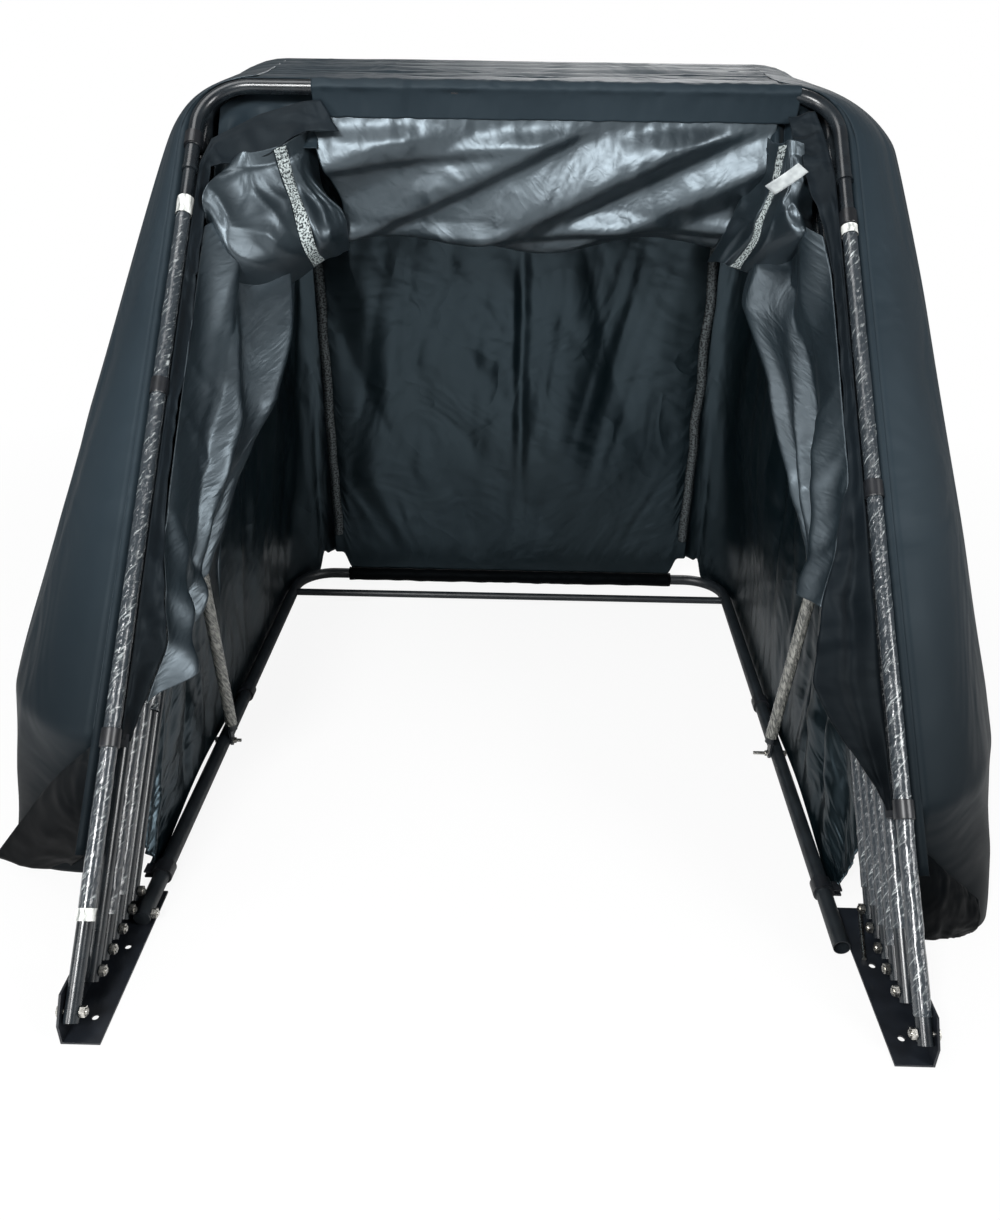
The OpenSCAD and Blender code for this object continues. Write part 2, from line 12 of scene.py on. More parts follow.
import bpy
from mathutils import Matrix, Vector, noise
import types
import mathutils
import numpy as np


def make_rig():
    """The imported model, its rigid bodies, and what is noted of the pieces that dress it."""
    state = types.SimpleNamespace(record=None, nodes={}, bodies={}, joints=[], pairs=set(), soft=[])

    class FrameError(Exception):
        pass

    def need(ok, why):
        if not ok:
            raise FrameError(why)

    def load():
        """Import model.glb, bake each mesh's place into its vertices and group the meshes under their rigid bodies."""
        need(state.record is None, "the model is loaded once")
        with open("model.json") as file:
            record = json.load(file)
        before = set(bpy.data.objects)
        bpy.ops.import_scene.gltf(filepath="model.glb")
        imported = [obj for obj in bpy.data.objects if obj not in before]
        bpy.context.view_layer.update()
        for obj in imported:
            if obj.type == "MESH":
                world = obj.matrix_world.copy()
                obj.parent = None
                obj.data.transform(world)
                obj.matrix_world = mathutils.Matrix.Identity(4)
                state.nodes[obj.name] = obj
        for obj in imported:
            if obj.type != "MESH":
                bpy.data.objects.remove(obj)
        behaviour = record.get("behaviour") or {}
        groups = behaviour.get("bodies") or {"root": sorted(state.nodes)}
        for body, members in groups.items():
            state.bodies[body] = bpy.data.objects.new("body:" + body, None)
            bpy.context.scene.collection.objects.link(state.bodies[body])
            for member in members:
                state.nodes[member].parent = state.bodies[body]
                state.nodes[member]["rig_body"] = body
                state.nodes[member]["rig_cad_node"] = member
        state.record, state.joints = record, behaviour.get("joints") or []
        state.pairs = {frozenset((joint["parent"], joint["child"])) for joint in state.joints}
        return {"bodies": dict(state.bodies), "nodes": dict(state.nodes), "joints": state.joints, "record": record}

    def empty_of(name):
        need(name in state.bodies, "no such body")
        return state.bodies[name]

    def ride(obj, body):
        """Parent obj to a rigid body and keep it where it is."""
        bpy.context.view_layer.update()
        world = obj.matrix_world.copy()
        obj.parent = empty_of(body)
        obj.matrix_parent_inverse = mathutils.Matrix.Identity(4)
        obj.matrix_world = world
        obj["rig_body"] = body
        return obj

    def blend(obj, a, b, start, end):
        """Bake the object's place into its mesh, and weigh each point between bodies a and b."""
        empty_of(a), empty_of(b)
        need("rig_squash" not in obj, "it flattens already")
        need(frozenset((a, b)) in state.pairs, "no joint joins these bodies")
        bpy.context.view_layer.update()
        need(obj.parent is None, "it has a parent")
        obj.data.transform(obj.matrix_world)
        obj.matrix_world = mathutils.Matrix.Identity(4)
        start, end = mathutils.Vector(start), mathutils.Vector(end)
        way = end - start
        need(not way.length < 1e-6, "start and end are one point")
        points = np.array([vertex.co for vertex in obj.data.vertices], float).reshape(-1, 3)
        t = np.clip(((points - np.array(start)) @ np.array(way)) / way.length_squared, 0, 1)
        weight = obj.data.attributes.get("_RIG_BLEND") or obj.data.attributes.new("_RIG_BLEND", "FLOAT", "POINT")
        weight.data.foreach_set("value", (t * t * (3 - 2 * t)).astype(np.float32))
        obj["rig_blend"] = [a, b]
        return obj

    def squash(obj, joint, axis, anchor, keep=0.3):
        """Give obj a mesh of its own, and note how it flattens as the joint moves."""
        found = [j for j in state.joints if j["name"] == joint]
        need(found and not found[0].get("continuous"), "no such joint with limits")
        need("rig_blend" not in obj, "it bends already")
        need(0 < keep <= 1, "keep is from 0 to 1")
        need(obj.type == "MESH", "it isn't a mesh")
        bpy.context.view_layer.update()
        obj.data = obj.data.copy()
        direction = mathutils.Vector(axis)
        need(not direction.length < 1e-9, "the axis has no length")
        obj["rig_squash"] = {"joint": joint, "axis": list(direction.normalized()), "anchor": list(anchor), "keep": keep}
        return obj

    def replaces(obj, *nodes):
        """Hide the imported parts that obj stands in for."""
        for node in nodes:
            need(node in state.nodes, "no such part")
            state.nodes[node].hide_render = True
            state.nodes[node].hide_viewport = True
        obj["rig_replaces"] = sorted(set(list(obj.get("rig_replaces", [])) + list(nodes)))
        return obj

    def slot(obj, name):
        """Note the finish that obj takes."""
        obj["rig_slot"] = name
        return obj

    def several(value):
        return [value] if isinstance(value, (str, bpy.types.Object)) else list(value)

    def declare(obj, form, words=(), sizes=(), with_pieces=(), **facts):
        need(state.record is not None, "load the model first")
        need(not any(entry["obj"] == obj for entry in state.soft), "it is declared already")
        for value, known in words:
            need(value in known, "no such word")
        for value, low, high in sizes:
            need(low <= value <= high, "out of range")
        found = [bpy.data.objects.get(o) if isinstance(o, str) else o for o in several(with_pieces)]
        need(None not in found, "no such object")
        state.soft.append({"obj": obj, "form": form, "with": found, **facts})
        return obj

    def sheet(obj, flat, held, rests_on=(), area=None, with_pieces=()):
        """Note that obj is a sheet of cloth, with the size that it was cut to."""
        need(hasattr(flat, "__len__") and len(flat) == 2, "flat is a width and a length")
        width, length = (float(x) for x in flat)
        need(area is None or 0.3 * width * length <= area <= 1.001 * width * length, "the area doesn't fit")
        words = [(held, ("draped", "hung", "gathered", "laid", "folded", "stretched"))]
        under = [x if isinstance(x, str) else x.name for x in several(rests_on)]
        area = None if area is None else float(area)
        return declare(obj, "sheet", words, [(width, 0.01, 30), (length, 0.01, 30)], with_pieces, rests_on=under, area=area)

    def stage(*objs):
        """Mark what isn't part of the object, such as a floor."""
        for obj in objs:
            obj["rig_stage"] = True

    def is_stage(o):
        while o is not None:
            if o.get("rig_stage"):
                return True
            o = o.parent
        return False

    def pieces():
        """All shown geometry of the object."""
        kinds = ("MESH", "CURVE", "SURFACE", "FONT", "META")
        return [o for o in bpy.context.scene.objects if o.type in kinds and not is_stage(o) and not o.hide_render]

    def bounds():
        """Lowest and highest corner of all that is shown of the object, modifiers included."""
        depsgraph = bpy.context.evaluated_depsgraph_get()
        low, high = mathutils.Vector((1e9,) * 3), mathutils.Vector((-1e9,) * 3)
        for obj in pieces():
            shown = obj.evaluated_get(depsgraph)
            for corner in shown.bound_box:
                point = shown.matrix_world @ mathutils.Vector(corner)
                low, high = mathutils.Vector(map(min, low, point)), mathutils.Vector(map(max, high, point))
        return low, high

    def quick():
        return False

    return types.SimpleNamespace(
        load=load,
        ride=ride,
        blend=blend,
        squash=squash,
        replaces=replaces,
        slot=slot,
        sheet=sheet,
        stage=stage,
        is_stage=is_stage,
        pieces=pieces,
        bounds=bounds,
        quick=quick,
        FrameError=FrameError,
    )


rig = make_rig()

noise.seed_set(3)  # so that the vector noise gives the same folds on every run
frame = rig.load()
cad_box = [list(c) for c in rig.bounds()]
nodes = frame["nodes"]
LEFT, RIGHT = -1, 1
WORD = {LEFT: "left", RIGHT: "right"}
print("bodies:", sorted(frame["bodies"]))

# %% [markdown]
# ## Where the hoops are
# Every piece of cloth is placed from the hoops, so the same few values that set them out are
# named once here, in metres and degrees. A point on hoop i is given by how far across it is,
# how far along the leg from the pivot, and how far out of the hoop's own plane.

# %% Hoop values and a point on a hoop
HALF = 0.532
LEG_R, TOP_R, RAIL_R = 0.010, 0.0115, 0.012
BEND = 0.085
CLIPS = {LEFT: (0.345, 0.880, 1.336), RIGHT: (0.274, 0.734, 1.203)}
PIVOT_Z = 0.036
PIVOTS = [joint["pos_m"][1] for joint in sorted(frame["joints"], key=lambda j: j["name"])]
PIVOTS.append(2 * PIVOTS[-1] - PIVOTS[-2])
REACH, STEP = 1.450, 0.013
LEAN = [math.radians(45.6 - 0.15 * i) for i in range(6)]


def on_hoop(i, x, s, out=0.0):
    """A point on hoop i, counted from 1; i may lie between two hoops."""
    k = min(4, max(0, int(i) - 1))
    t = i - 1 - k
    y0 = PIVOTS[k] + (PIVOTS[k + 1] - PIVOTS[k]) * t
    a = LEAN[k] + (LEAN[k + 1] - LEAN[k]) * t
    return Vector((x, y0 + s * math.cos(a) - out * math.sin(a),
                   PIVOT_Z + s * math.sin(a) + out * math.cos(a)))


def reach(i):
    """How far hoop i's bar is from its pivot: each hoop is a little longer than the one before."""
    return REACH + STEP * (i - 1)


def mix(a, b, t):
    return a + (b - a) * t


def smooth(t):
    t = min(1.0, max(0.0, t))
    return t * t * (3 - 2 * t)


def ridge(t, centre, width):
    """1 at the centre, falling smoothly to 0 at a width to either side."""
    return smooth(1 - abs(t - centre) / width)


def arch(t):
    """0 at both ends and 1 in the middle."""
    return math.sin(math.pi * t)


def grain(x, y, z):
    return noise.noise(Vector((x, y, z)))


print("front bar:", [round(c, 3) for c in on_hoop(1, 0, reach(1))])

# %% [markdown]
# ## The camera
# The camera stands in front of the opening at about shoulder height of a seated rider, and
# looks down a little. It is made from its place, its tilt and its roll.

# %% Camera
def in_scene(name, data):
    """A new object with this data, linked to the scene."""
    thing = bpy.data.objects.new(name, data)
    bpy.context.scene.collection.objects.link(thing)
    return thing


def add_camera(place, pitch, roll, yaw, lens):
    cp, sp = math.cos(pitch), math.sin(pitch)
    cr, sr = math.cos(roll), math.sin(roll)
    cw, sw = math.cos(yaw), math.sin(yaw)
    right = Vector((cr * cw - sr * sp * sw, -cr * sw - sr * sp * cw, -sr * cp))
    up = Vector((sr * cw + cr * sp * sw, -sr * sw + cr * sp * cw, cr * cp))
    back = right.cross(up)
    camera = in_scene("camera", bpy.data.cameras.new("camera"))
    turn = Matrix((right, up, back)).transposed().to_4x4()
    camera.matrix_world = Matrix.Translation(place) @ turn
    camera.data.lens = lens
    camera.data.sensor_width = 36
    camera.data.clip_end = 50
    return camera


bpy.context.scene.camera = add_camera(Vector((0.010, -0.953, 1.066)), pitch=math.radians(27.3),
                                      roll=math.radians(-0.83), yaw=math.radians(-0.83), lens=29.5)
print("camera set")

# %% [markdown]
# ## Materials
# A material here is a small recipe: a base colour that varies a little, a roughness that varies
# with it, and a bump for the texture. The cloth reads its own UV map, measured in metres along
# the cloth, so the weave follows every fold; rigid parts read object coordinates.

# %% Material helpers
def linear(r, g, b):
    """A screen colour, 0 to 255, as the shader's linear colour."""
    return tuple((c / 255 / 12.92) if c <= 10 else ((c / 255 + 0.055) / 1.055) ** 2.4
                 for c in (r, g, b)) + (1.0,)


def wire(tree):
    """A short way to add nodes: sockets get a value, or a link from another node's output."""
    def add(kind, sockets=None, **settings):
        node = tree.nodes.new(kind)
        for key, value in settings.items():
            setattr(node, key, value)
        for socket, value in (sockets or {}).items():
            if isinstance(value, bpy.types.NodeSocket):
                tree.links.new(value, node.inputs[socket])
            else:
                node.inputs[socket].default_value = value
        return node
    return add


class Recipe:
    """A node material built step by step."""

    def __init__(self, name, uv=False, rough=0.5, metal=0.0, spec=0.5, stretch=(1, 1, 1), turn=0.0):
        self.mat = bpy.data.materials.new(name)
        self.mat.use_nodes = True
        tree = self.mat.node_tree
        self.add, self.link = wire(tree), tree.links.new
        self.shader = tree.nodes["Principled BSDF"]
        self.set(Roughness=rough, Metallic=metal, Specular_IOR_Level=spec)
        where = self.add("ShaderNodeTexCoord").outputs["UV" if uv else "Object"]
        self.place = self.add("ShaderNodeMapping", {"Vector": where, "Scale": stretch,
                              "Rotation": (0, 0, turn)}, vector_type="TEXTURE").outputs["Vector"]
        self.height = None

    def noise(self, scale, detail=3.0, rough=0.5, distort=0.0):
        return self.add("ShaderNodeTexNoise", {"Vector": self.place, "Scale": scale, "Detail": detail,
                        "Roughness": rough, "Distortion": distort}).outputs["Fac"]

    def wave(self, scale, direction):
        return self.add("ShaderNodeTexWave", {"Vector": self.place, "Scale": scale},
                        bands_direction=direction).outputs["Fac"]

    def colour(self, value, stops):
        """The base colour, by a smooth ramp through two (position, colour) stops."""
        node = self.add("ShaderNodeValToRGB", {"Fac": value})
        node.color_ramp.interpolation = "EASE"
        for mark, (at, shade) in zip(node.color_ramp.elements, stops):
            mark.position, mark.color = at, shade
        self.link(node.outputs["Color"], self.shader.inputs["Base Color"])
        return self

    def roughness(self, value, low, high):
        node = self.add("ShaderNodeMapRange", {"Value": value, "To Min": low, "To Max": high})
        self.link(node.outputs["Result"], self.shader.inputs["Roughness"])
        return self

    def bump(self, value, strength, distance):
        node = self.add("ShaderNodeBump", {"Height": value, "Strength": strength, "Distance": distance})
        if self.height:
            self.link(self.height, node.inputs["Normal"])
        self.height = node.outputs["Normal"]
        self.link(self.height, self.shader.inputs["Normal"])
        return self

    def set(self, **values):
        for name, value in values.items():
            self.shader.inputs[name.replace("_", " ")].default_value = value
        return self


# %% [markdown]
# ### Cloth
# The cover is a woven polyester with a coating. Outside it is a matte blue-grey black; inside,
# the coating is smooth and shines along every crease.

# %% Cloth materials
def creased(r, scale, strength, height):
    """Sharp creases: where the noise crosses its middle value, the surface folds."""
    raw = r.noise(scale, 2.0, 0.5, distort=0.9)
    fold = r.add("ShaderNodeMath", {0: raw, 1: 0.5}, operation="PINGPONG")
    return r.bump(fold.outputs[0], strength, height)


def painted_shade_low(r, low_z, high_z, share):
    """Painted shade: scales the base colour and the shine down, smoothly, from a height to the floor, where the lower
    cloth turns from the light.
    """
    where = r.add("ShaderNodeTexCoord").outputs["Object"]
    up = r.add("ShaderNodeSeparateXYZ", {0: where}).outputs["Z"]
    scale = r.add("ShaderNodeMapRange", {"Value": up, "From Min": low_z, "From Max": high_z,
                  "To Min": share}, interpolation_type="SMOOTHSTEP").outputs["Result"]
    base, shine = r.shader.inputs["Base Color"], r.shader.inputs["Specular IOR Level"]
    dim = r.add("ShaderNodeVectorMath", {0: base.links[0].from_socket, "Scale": scale},
                operation="SCALE")
    r.link(dim.outputs["Vector"], base)
    less = r.add("ShaderNodeMath", {0: scale, 1: shine.default_value}, operation="MULTIPLY")
    r.link(less.outputs[0], shine)


def cloth_outside(name, low, high, spec=0.28):
    r = Recipe(name, uv=True, rough=0.6, spec=spec)
    r.colour(r.noise(3.0, 4.0), [(0.3, low), (0.7, high)])
    # painted shade: the outside cloth grows darker and less shiny towards the floor
    painted_shade_low(r, low_z=0.05, high_z=0.66, share=0.16)
    r.bump(r.noise(5.0, 3.0, 0.55, distort=0.8), 0.6, 0.020)
    creased(r, 5.0, 0.35, 0.012)
    r.bump(r.wave(340, "X"), 0.10, 0.0002).bump(r.wave(340, "Y"), 0.10, 0.0002)
    r.set(Sheen_Weight=0.03, Sheen_Roughness=0.5, Specular_Tint=(0.80, 0.92, 0.99, 1.0))
    return r.roughness(r.noise(14.0, 2.0), 0.50, 0.66).mat


def cloth_lining():
    r = Recipe("cover_lining", uv=True, rough=0.3, spec=0.9)
    r.colour(r.noise(4.0, 3.0), [(0.3, linear(12, 20, 25)), (0.7, linear(24, 33, 38))])
    r.bump(r.noise(7.0, 3.0, 0.6, distort=1.2), 0.4, 0.006)
    creased(r, 9.0, 0.4, 0.008)
    creased(r, 30.0, 0.4, 0.002)
    r.bump(r.wave(420, "X"), 0.04, 0.0002)
    r.set(Specular_Tint=(0.76, 0.90, 1.0, 1.0), IOR=1.62)
    return r.roughness(r.noise(40.0, 4.0), 0.35, 0.49).mat


# The walls' lining is the lining made darker: painted shade for the back and side walls inside the shelter.
def shaded_back_cloth():
    r = Recipe("cover_back_lining", uv=True, rough=0.36, spec=0.65)
    r.colour(r.noise(2.4, 3.0), [(0.35, linear(1, 6, 9)), (0.72, linear(7, 12, 13))])
    r.set(Specular_Tint=(0.62, 0.85, 1.0, 1.0))
    r.bump(r.noise(4.0, 3.0, 0.6, distort=1.0), 0.6, 0.016)
    creased(r, 6.0, 0.5, 0.012)
    r.bump(r.wave(420, "X"), 0.04, 0.0002)
    return r.roughness(r.noise(6.0, 3.0), 0.26, 0.40).mat


def overlock_thread(name, low, high):
    r = Recipe(name, uv=True, rough=0.7, spec=0.3)
    r.colour(r.noise(260.0, 2.0), [(0.42, low), (0.56, high)])
    r.bump(r.noise(320.0, 2.0), 0.6, 0.001)
    return r.mat


def bare_tag():
    r = Recipe("woven_tag", uv=True, rough=0.6, spec=0.3)
    r.colour(r.noise(60.0, 2.0), [(0.3, linear(150, 156, 158)), (0.7, linear(186, 192, 192))])
    return r.bump(r.wave(500, "X"), 0.2, 0.0003).mat


OUTSIDE = cloth_outside("cover_outside", linear(20, 31, 38), linear(28, 39, 46))
# The hem cloth is the outside cloth made darker and less shiny: painted shade, on the front hems, the rear hem and the
# floor flaps.
SHADED_HEM = cloth_outside("cover_hem", linear(5, 11, 16), linear(12, 20, 26), 0.18)
LINING, SHADED_BACK_LINING = cloth_lining(), shaded_back_cloth()
SEAM = overlock_thread("seam_edge", linear(36, 42, 45), linear(176, 186, 186))
# The back corner seams take the seam thread made darker: painted shade.
SHADED_SEAM = overlock_thread("seam_edge_painted_shade", linear(14, 18, 20), linear(74, 80, 82))
TAG = bare_tag()

# %% [markdown]
# ### Steel, film and plastic
# The tubes have a black powder coat. Clear stretch film is wound round most of them: what shows
# is the dark tube with bright creases that run slanting round it, so one opaque material with
# slanting streaks gives the film's look without any glass. The streaks' pale colour is painted
# highlight: the light that glints on the film's creases.

# %% Metal, film and plastic materials
def powder_coat(name, low, high, gloss):
    r = Recipe(name, rough=gloss, spec=0.5)
    r.colour(r.noise(30.0, 3.0), [(0.3, low), (0.75, high)])
    r.bump(r.noise(900.0, 2.0), 0.12, 0.0004)
    return r.roughness(r.noise(40.0, 3.0), gloss - 0.06, gloss + 0.1).mat


def bright_zinc():
    r = Recipe("bright_zinc", rough=0.25, metal=1.0)
    r.colour(r.noise(160.0, 3.0), [(0.3, linear(168, 166, 160)), (0.7, linear(216, 214, 208))])
    r.bump(r.noise(500.0, 2.0), 0.2, 0.0004)
    return r.roughness(r.noise(220.0, 2.0), 0.18, 0.38).mat


def stretch_film(name, dark, bright, streak, turn, at=(0.52, 0.64), stretch=(1.0, 4.5, 1.0)):
    r = Recipe(name, uv=True, rough=0.2, spec=0.6, stretch=stretch, turn=turn)
    r.colour(r.noise(streak, 5.0, 0.65, distort=0.5), [(at[0], dark), (at[1], bright)])
    r.bump(r.noise(streak * 0.8, 3.0, 0.6, distort=0.8), 0.8, 0.003)
    return r.roughness(r.noise(60.0, 2.0), 0.10, 0.28).set(Coat_Weight=0.4, Coat_Roughness=0.1).mat


def moulded_plastic():
    r = Recipe("clip_plastic", rough=0.35, spec=0.5)
    r.colour(r.noise(60.0, 2.0), [(0.3, linear(17, 19, 22)), (0.7, linear(27, 29, 33))])
    return r.bump(r.noise(300.0, 2.0), 0.1, 0.0004).mat


TUBE = powder_coat("hoop_paint", linear(20, 24, 28), linear(32, 38, 42), 0.24)
BASE_TUBE = powder_coat("base_paint", linear(17, 21, 25), linear(27, 32, 36), 0.42)
PLATE = powder_coat("plate_paint", linear(13, 17, 23), linear(22, 27, 34), 0.45)
ZINC, PLASTIC = bright_zinc(), moulded_plastic()
# the stretch film's pale streaks are painted highlights
FILM_PAINTED_HIGHLIGHTS = stretch_film("stretch_film", linear(44, 50, 55), linear(176, 182, 182), 190.0, 0.85,
                    (0.55, 0.72), stretch=(4.5, 1.0, 1.0))
FUZZ = stretch_film("strut_wrap", linear(64, 66, 64), linear(138, 138, 132), 300.0, 0.5, (0.40, 0.62))
TAPE = stretch_film("white_tape", linear(120, 124, 122), linear(226, 228, 224), 120.0, 0.1, (0.35, 0.6))

for name, node in nodes.items():
    finish = (PLATE if "plate" in name else ZINC if "bolt" in name else PLASTIC if "clips" in name
              else BASE_TUBE if name in ("rail_left", "rail_right", "rear_bar", "crossbar") else TUBE)
    node.data.materials.clear()
    node.data.materials.append(finish)
print("materials:", len(bpy.data.materials))

# %% [markdown]
# ## Cloth from a rule
# Each piece of cloth is a grid: a rule gives the place of every point from two numbers, how far
# across (u) and how far up (v) the piece it is. The same helper makes a UV map in metres and
# gives the sheet its thickness, with one material on its face and another on its back.

# %% Make a sheet
def sheet_mesh(name, place, cols, rows, size):
    """A grid of cols by rows cells; size is the cloth's width and length in metres for its UV map."""
    mesh = bpy.data.meshes.new(name)
    points = [place(j / cols, i / rows) for i in range(rows + 1) for j in range(cols + 1)]
    cell = cols + 1
    faces = [(i * cell + j, i * cell + j + 1, (i + 1) * cell + j + 1, (i + 1) * cell + j)
             for i in range(rows) for j in range(cols)]
    mesh.from_pydata(points, [], faces)
    layer = mesh.uv_layers.new(name="cloth")
    for polygon in mesh.polygons:
        for corner in polygon.loop_indices:
            k = mesh.loops[corner].vertex_index
            layer.data[corner].uv = (k % cell / cols * size[0], k // cell / rows * size[1])
    thing = in_scene(name, mesh)
    mesh.shade_smooth()
    return thing


def bake(thing):
    """The object with its modifiers applied, as a plain mesh in the same place."""
    graph = bpy.context.evaluated_depsgraph_get()
    mesh = bpy.data.meshes.new_from_object(thing.evaluated_get(graph))
    mesh.name = thing.name
    thing.modifiers.clear()
    thing.data = mesh
    return thing


def finish_cloth(thing, face, back, thick=0.0012, levels=1):
    """Smooths a sheet, gives it thickness and its two materials."""
    thing.data.materials.clear()
    thing.data.materials.append(face)
    thing.data.materials.append(back)
    if levels:
        soft = thing.modifiers.new("soft", "SUBSURF")
        soft.levels = soft.render_levels = levels
    wall = thing.modifiers.new("wall", "SOLIDIFY")
    wall.thickness = thick
    wall.offset = 0
    wall.material_offset = 1
    wall.material_offset_rim = 0
    return bake(thing)


def flat_size(place, cols, rows):
    """How wide, how long and how large the cloth would be if it were laid flat."""
    grid = [[place(j / cols, i / rows) for j in range(cols + 1)] for i in range(rows + 1)]
    wide = [sum((r[j + 1] - r[j]).length for j in range(cols)) for r in grid]
    long = [sum((grid[i + 1][j] - grid[i][j]).length for i in range(rows)) for j in range(cols + 1)]
    area = sum(((grid[i + 1][j + 1] - grid[i][j]).cross(grid[i + 1][j] - grid[i][j + 1])).length / 2
               for i in range(rows) for j in range(cols))
    w, l = max(wide), max(long)
    return (w, l), min(area, w * l)


def measured(thing, cols, rows):
    """The same for a grid mesh, before it gets its thickness."""
    points = [v.co.copy() for v in thing.data.vertices]
    return flat_size(lambda u, v: points[round(v * rows) * (cols + 1) + round(u * cols)], cols, rows)


def dress(name, place, grid, size, skins, slot, body="base", node=None, squash=None,
          thick=0.0012, levels=1, shape=None):
    """Makes one sheet, ties it to its body, and gives it with its size laid flat."""
    thing = sheet_mesh(name, place, *grid, size)
    if shape:
        shape(thing)
    flat, area = measured(thing, *grid)
    finish_cloth(thing, *skins, thick, levels)
    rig.ride(thing, body)
    if squash:
        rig.squash(thing, "hoop_1_swing", **squash)
    if node:
        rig.replaces(thing, node)
    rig.slot(thing, slot)
    print(name, "cut", [round(c, 3) for c in flat], "area", round(area, 3))
    return thing, flat, area


def flat_to_leg(side, x):
    """How slack side cloth folds as the hoops swing forward: across, to a place by the leg."""
    return {"axis": (1, 0, 0), "anchor": (side * x, 0.5, 0.5), "keep": 0.03}


def billow(place, scale, seed):
    """A smooth noise vector, the same on every run."""
    return noise.noise_vector(Vector(place) * scale + Vector((seed * 7.3, seed * 3.1, seed * 1.7)))


def blend_table(table, t):
    """A smooth value from (position, value) pairs."""
    if t <= table[0][0]:
        return table[0][1]
    for (a, va), (b, vb) in zip(table, table[1:]):
        if t <= b:
            return mix(va, vb, mix((t - a) / (b - a), smooth((t - a) / (b - a)), 0.5))
    return table[-1][1]


def crumple(p, scale, seed):
    """Creased noise from -1 to 1: flat facets that meet in sharp folds."""
    p = Vector(p) * scale + Vector((seed * 4.1, seed * 2.3, seed * 9.7))
    warp = noise.noise_vector(p * 0.7) * 0.8
    first = 1 - 2.2 * abs(noise.noise(p + warp))
    second = 1 - 2.2 * abs(noise.noise((p + warp) * 2.3 + Vector((5, 1, 9))))
    return 0.65 * first + 0.35 * second


# %% [markdown]
# ## Slack cloth by simulation
# The side linings hang slack, and slack cloth folds in ways that are hard to draw. A rule gives
# the rough shape, the edges that are sewn are pinned, and Blender's cloth lets the rest settle
# with a little more cloth than the gap needs. A limit keeps each point near its start.

# %% Let a sheet settle
STRETCH, BENDING = 8.0, 1.5           # how stiff the cloth is


def settle(thing, held, even, inside, extra, frames, limit):
    """Cloth simulation on a sheet: held says how firmly a point is pinned, even where the cloth
    has no more length than the gap needs, and inside keeps a point clear of what moves."""
    start = [v.co.copy() for v in thing.data.vertices]
    for name, rule in (("held", held), ("even", even)):
        group = thing.vertex_groups.new(name=name)
        for k in range(len(start)):
            group.add([k], rule(k), "REPLACE")
    cloth = thing.modifiers.new("cloth", "CLOTH")
    s = cloth.settings
    s.quality = 6
    s.mass = 0.2
    s.tension_stiffness = s.compression_stiffness = STRETCH
    s.shear_stiffness = STRETCH * 0.5
    s.bending_stiffness = BENDING
    s.air_damping = 2.0
    s.vertex_group_mass = "held"
    s.pin_stiffness = 1.0
    s.vertex_group_shrink = "even"
    s.shrink_min, s.shrink_max = -extra, 0.0
    cloth.collision_settings.use_collision = False
    cloth.collision_settings.use_self_collision = False
    scene = bpy.context.scene
    cloth.point_cache.frame_start, cloth.point_cache.frame_end = 1, frames
    for step in range(1, frames + 1):
        scene.frame_set(step)
    bake(thing)
    scene.frame_set(1)
    for k, point in enumerate(thing.data.vertices):
        move = point.co - start[k]
        if move.length > limit:
            point.co = start[k] + move * (limit / move.length)
        point.co = inside(point.co)
    thing.vertex_groups.clear()
    return thing


# %% [markdown]
# ## Floor, world and lamps
# The floor is plain and pale. The camera and the metal see a white room, through the world's
# and the floor's own shaders, while the cloth is lit by soft lamps at an even level. The floor
# mixes that white with a plain diffuse surface, so that it keeps the shadow.

# %% Floor, world and lamps
def white_room():
    world = bpy.data.worlds.new("room")
    bpy.context.scene.world = world
    world.use_nodes = True
    add = wire(world.node_tree)
    back = world.node_tree.nodes["Background"]
    back.inputs["Color"].default_value = (1, 1, 1, 1)
    path = add("ShaderNodeLightPath").outputs
    both = add("ShaderNodeMath", {0: path["Is Camera Ray"], 1: path["Is Transmission Ray"]},
               operation="MAXIMUM")
    seen = add("ShaderNodeMapRange", {"Value": both.outputs[0], "To Min": 0.17, "To Max": 1.0})
    world.node_tree.links.new(seen.outputs["Result"], back.inputs["Strength"])


def pale_floor():
    mesh = bpy.data.meshes.new("floor")
    mesh.from_pydata([(-9, -9, -0.0005), (9, -9, -0.0005), (9, 9, -0.0005), (-9, 9, -0.0005)],
                     [], [(0, 1, 2, 3)])
    floor = in_scene("floor", mesh)
    mat = bpy.data.materials.new("floor")
    mat.use_nodes = True
    tree = mat.node_tree
    add = wire(tree)
    shader = tree.nodes["Principled BSDF"]
    shader.inputs["Base Color"].default_value = (0.72, 0.72, 0.72, 1)
    shader.inputs["Roughness"].default_value = 0.9
    shader.inputs["Specular IOR Level"].default_value = 0.1
    where = add("ShaderNodeTexCoord").outputs["Object"]
    far = add("ShaderNodeVectorMath", {0: where}, operation="LENGTH").outputs["Value"]
    share = add("ShaderNodeMapRange", {"Value": far, "From Min": 1.2, "From Max": 3.0,
                                       "To Min": 0.90, "To Max": 1.0}).outputs["Result"]
    seen = add("ShaderNodeLightPath").outputs["Is Camera Ray"]
    only = add("ShaderNodeMath", {0: seen, 1: share}, operation="MULTIPLY").outputs[0]
    glow = add("ShaderNodeEmission").outputs["Emission"]
    blend = add("ShaderNodeMixShader", {"Fac": only, 1: shader.outputs["BSDF"], 2: glow})
    tree.links.new(blend.outputs["Shader"], tree.nodes["Material Output"].inputs["Surface"])
    mesh.materials.append(mat)
    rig.stage(floor)


def soft_lamp(name, place, target, size, power):
    lamp = in_scene(name, bpy.data.lights.new(name, "AREA"))
    lamp.data.shape = "DISK"
    lamp.data.size = size
    lamp.data.energy = power
    lamp.location = place
    lamp.rotation_euler = (Vector(target) - Vector(place)).to_track_quat("-Z", "Y").to_euler()


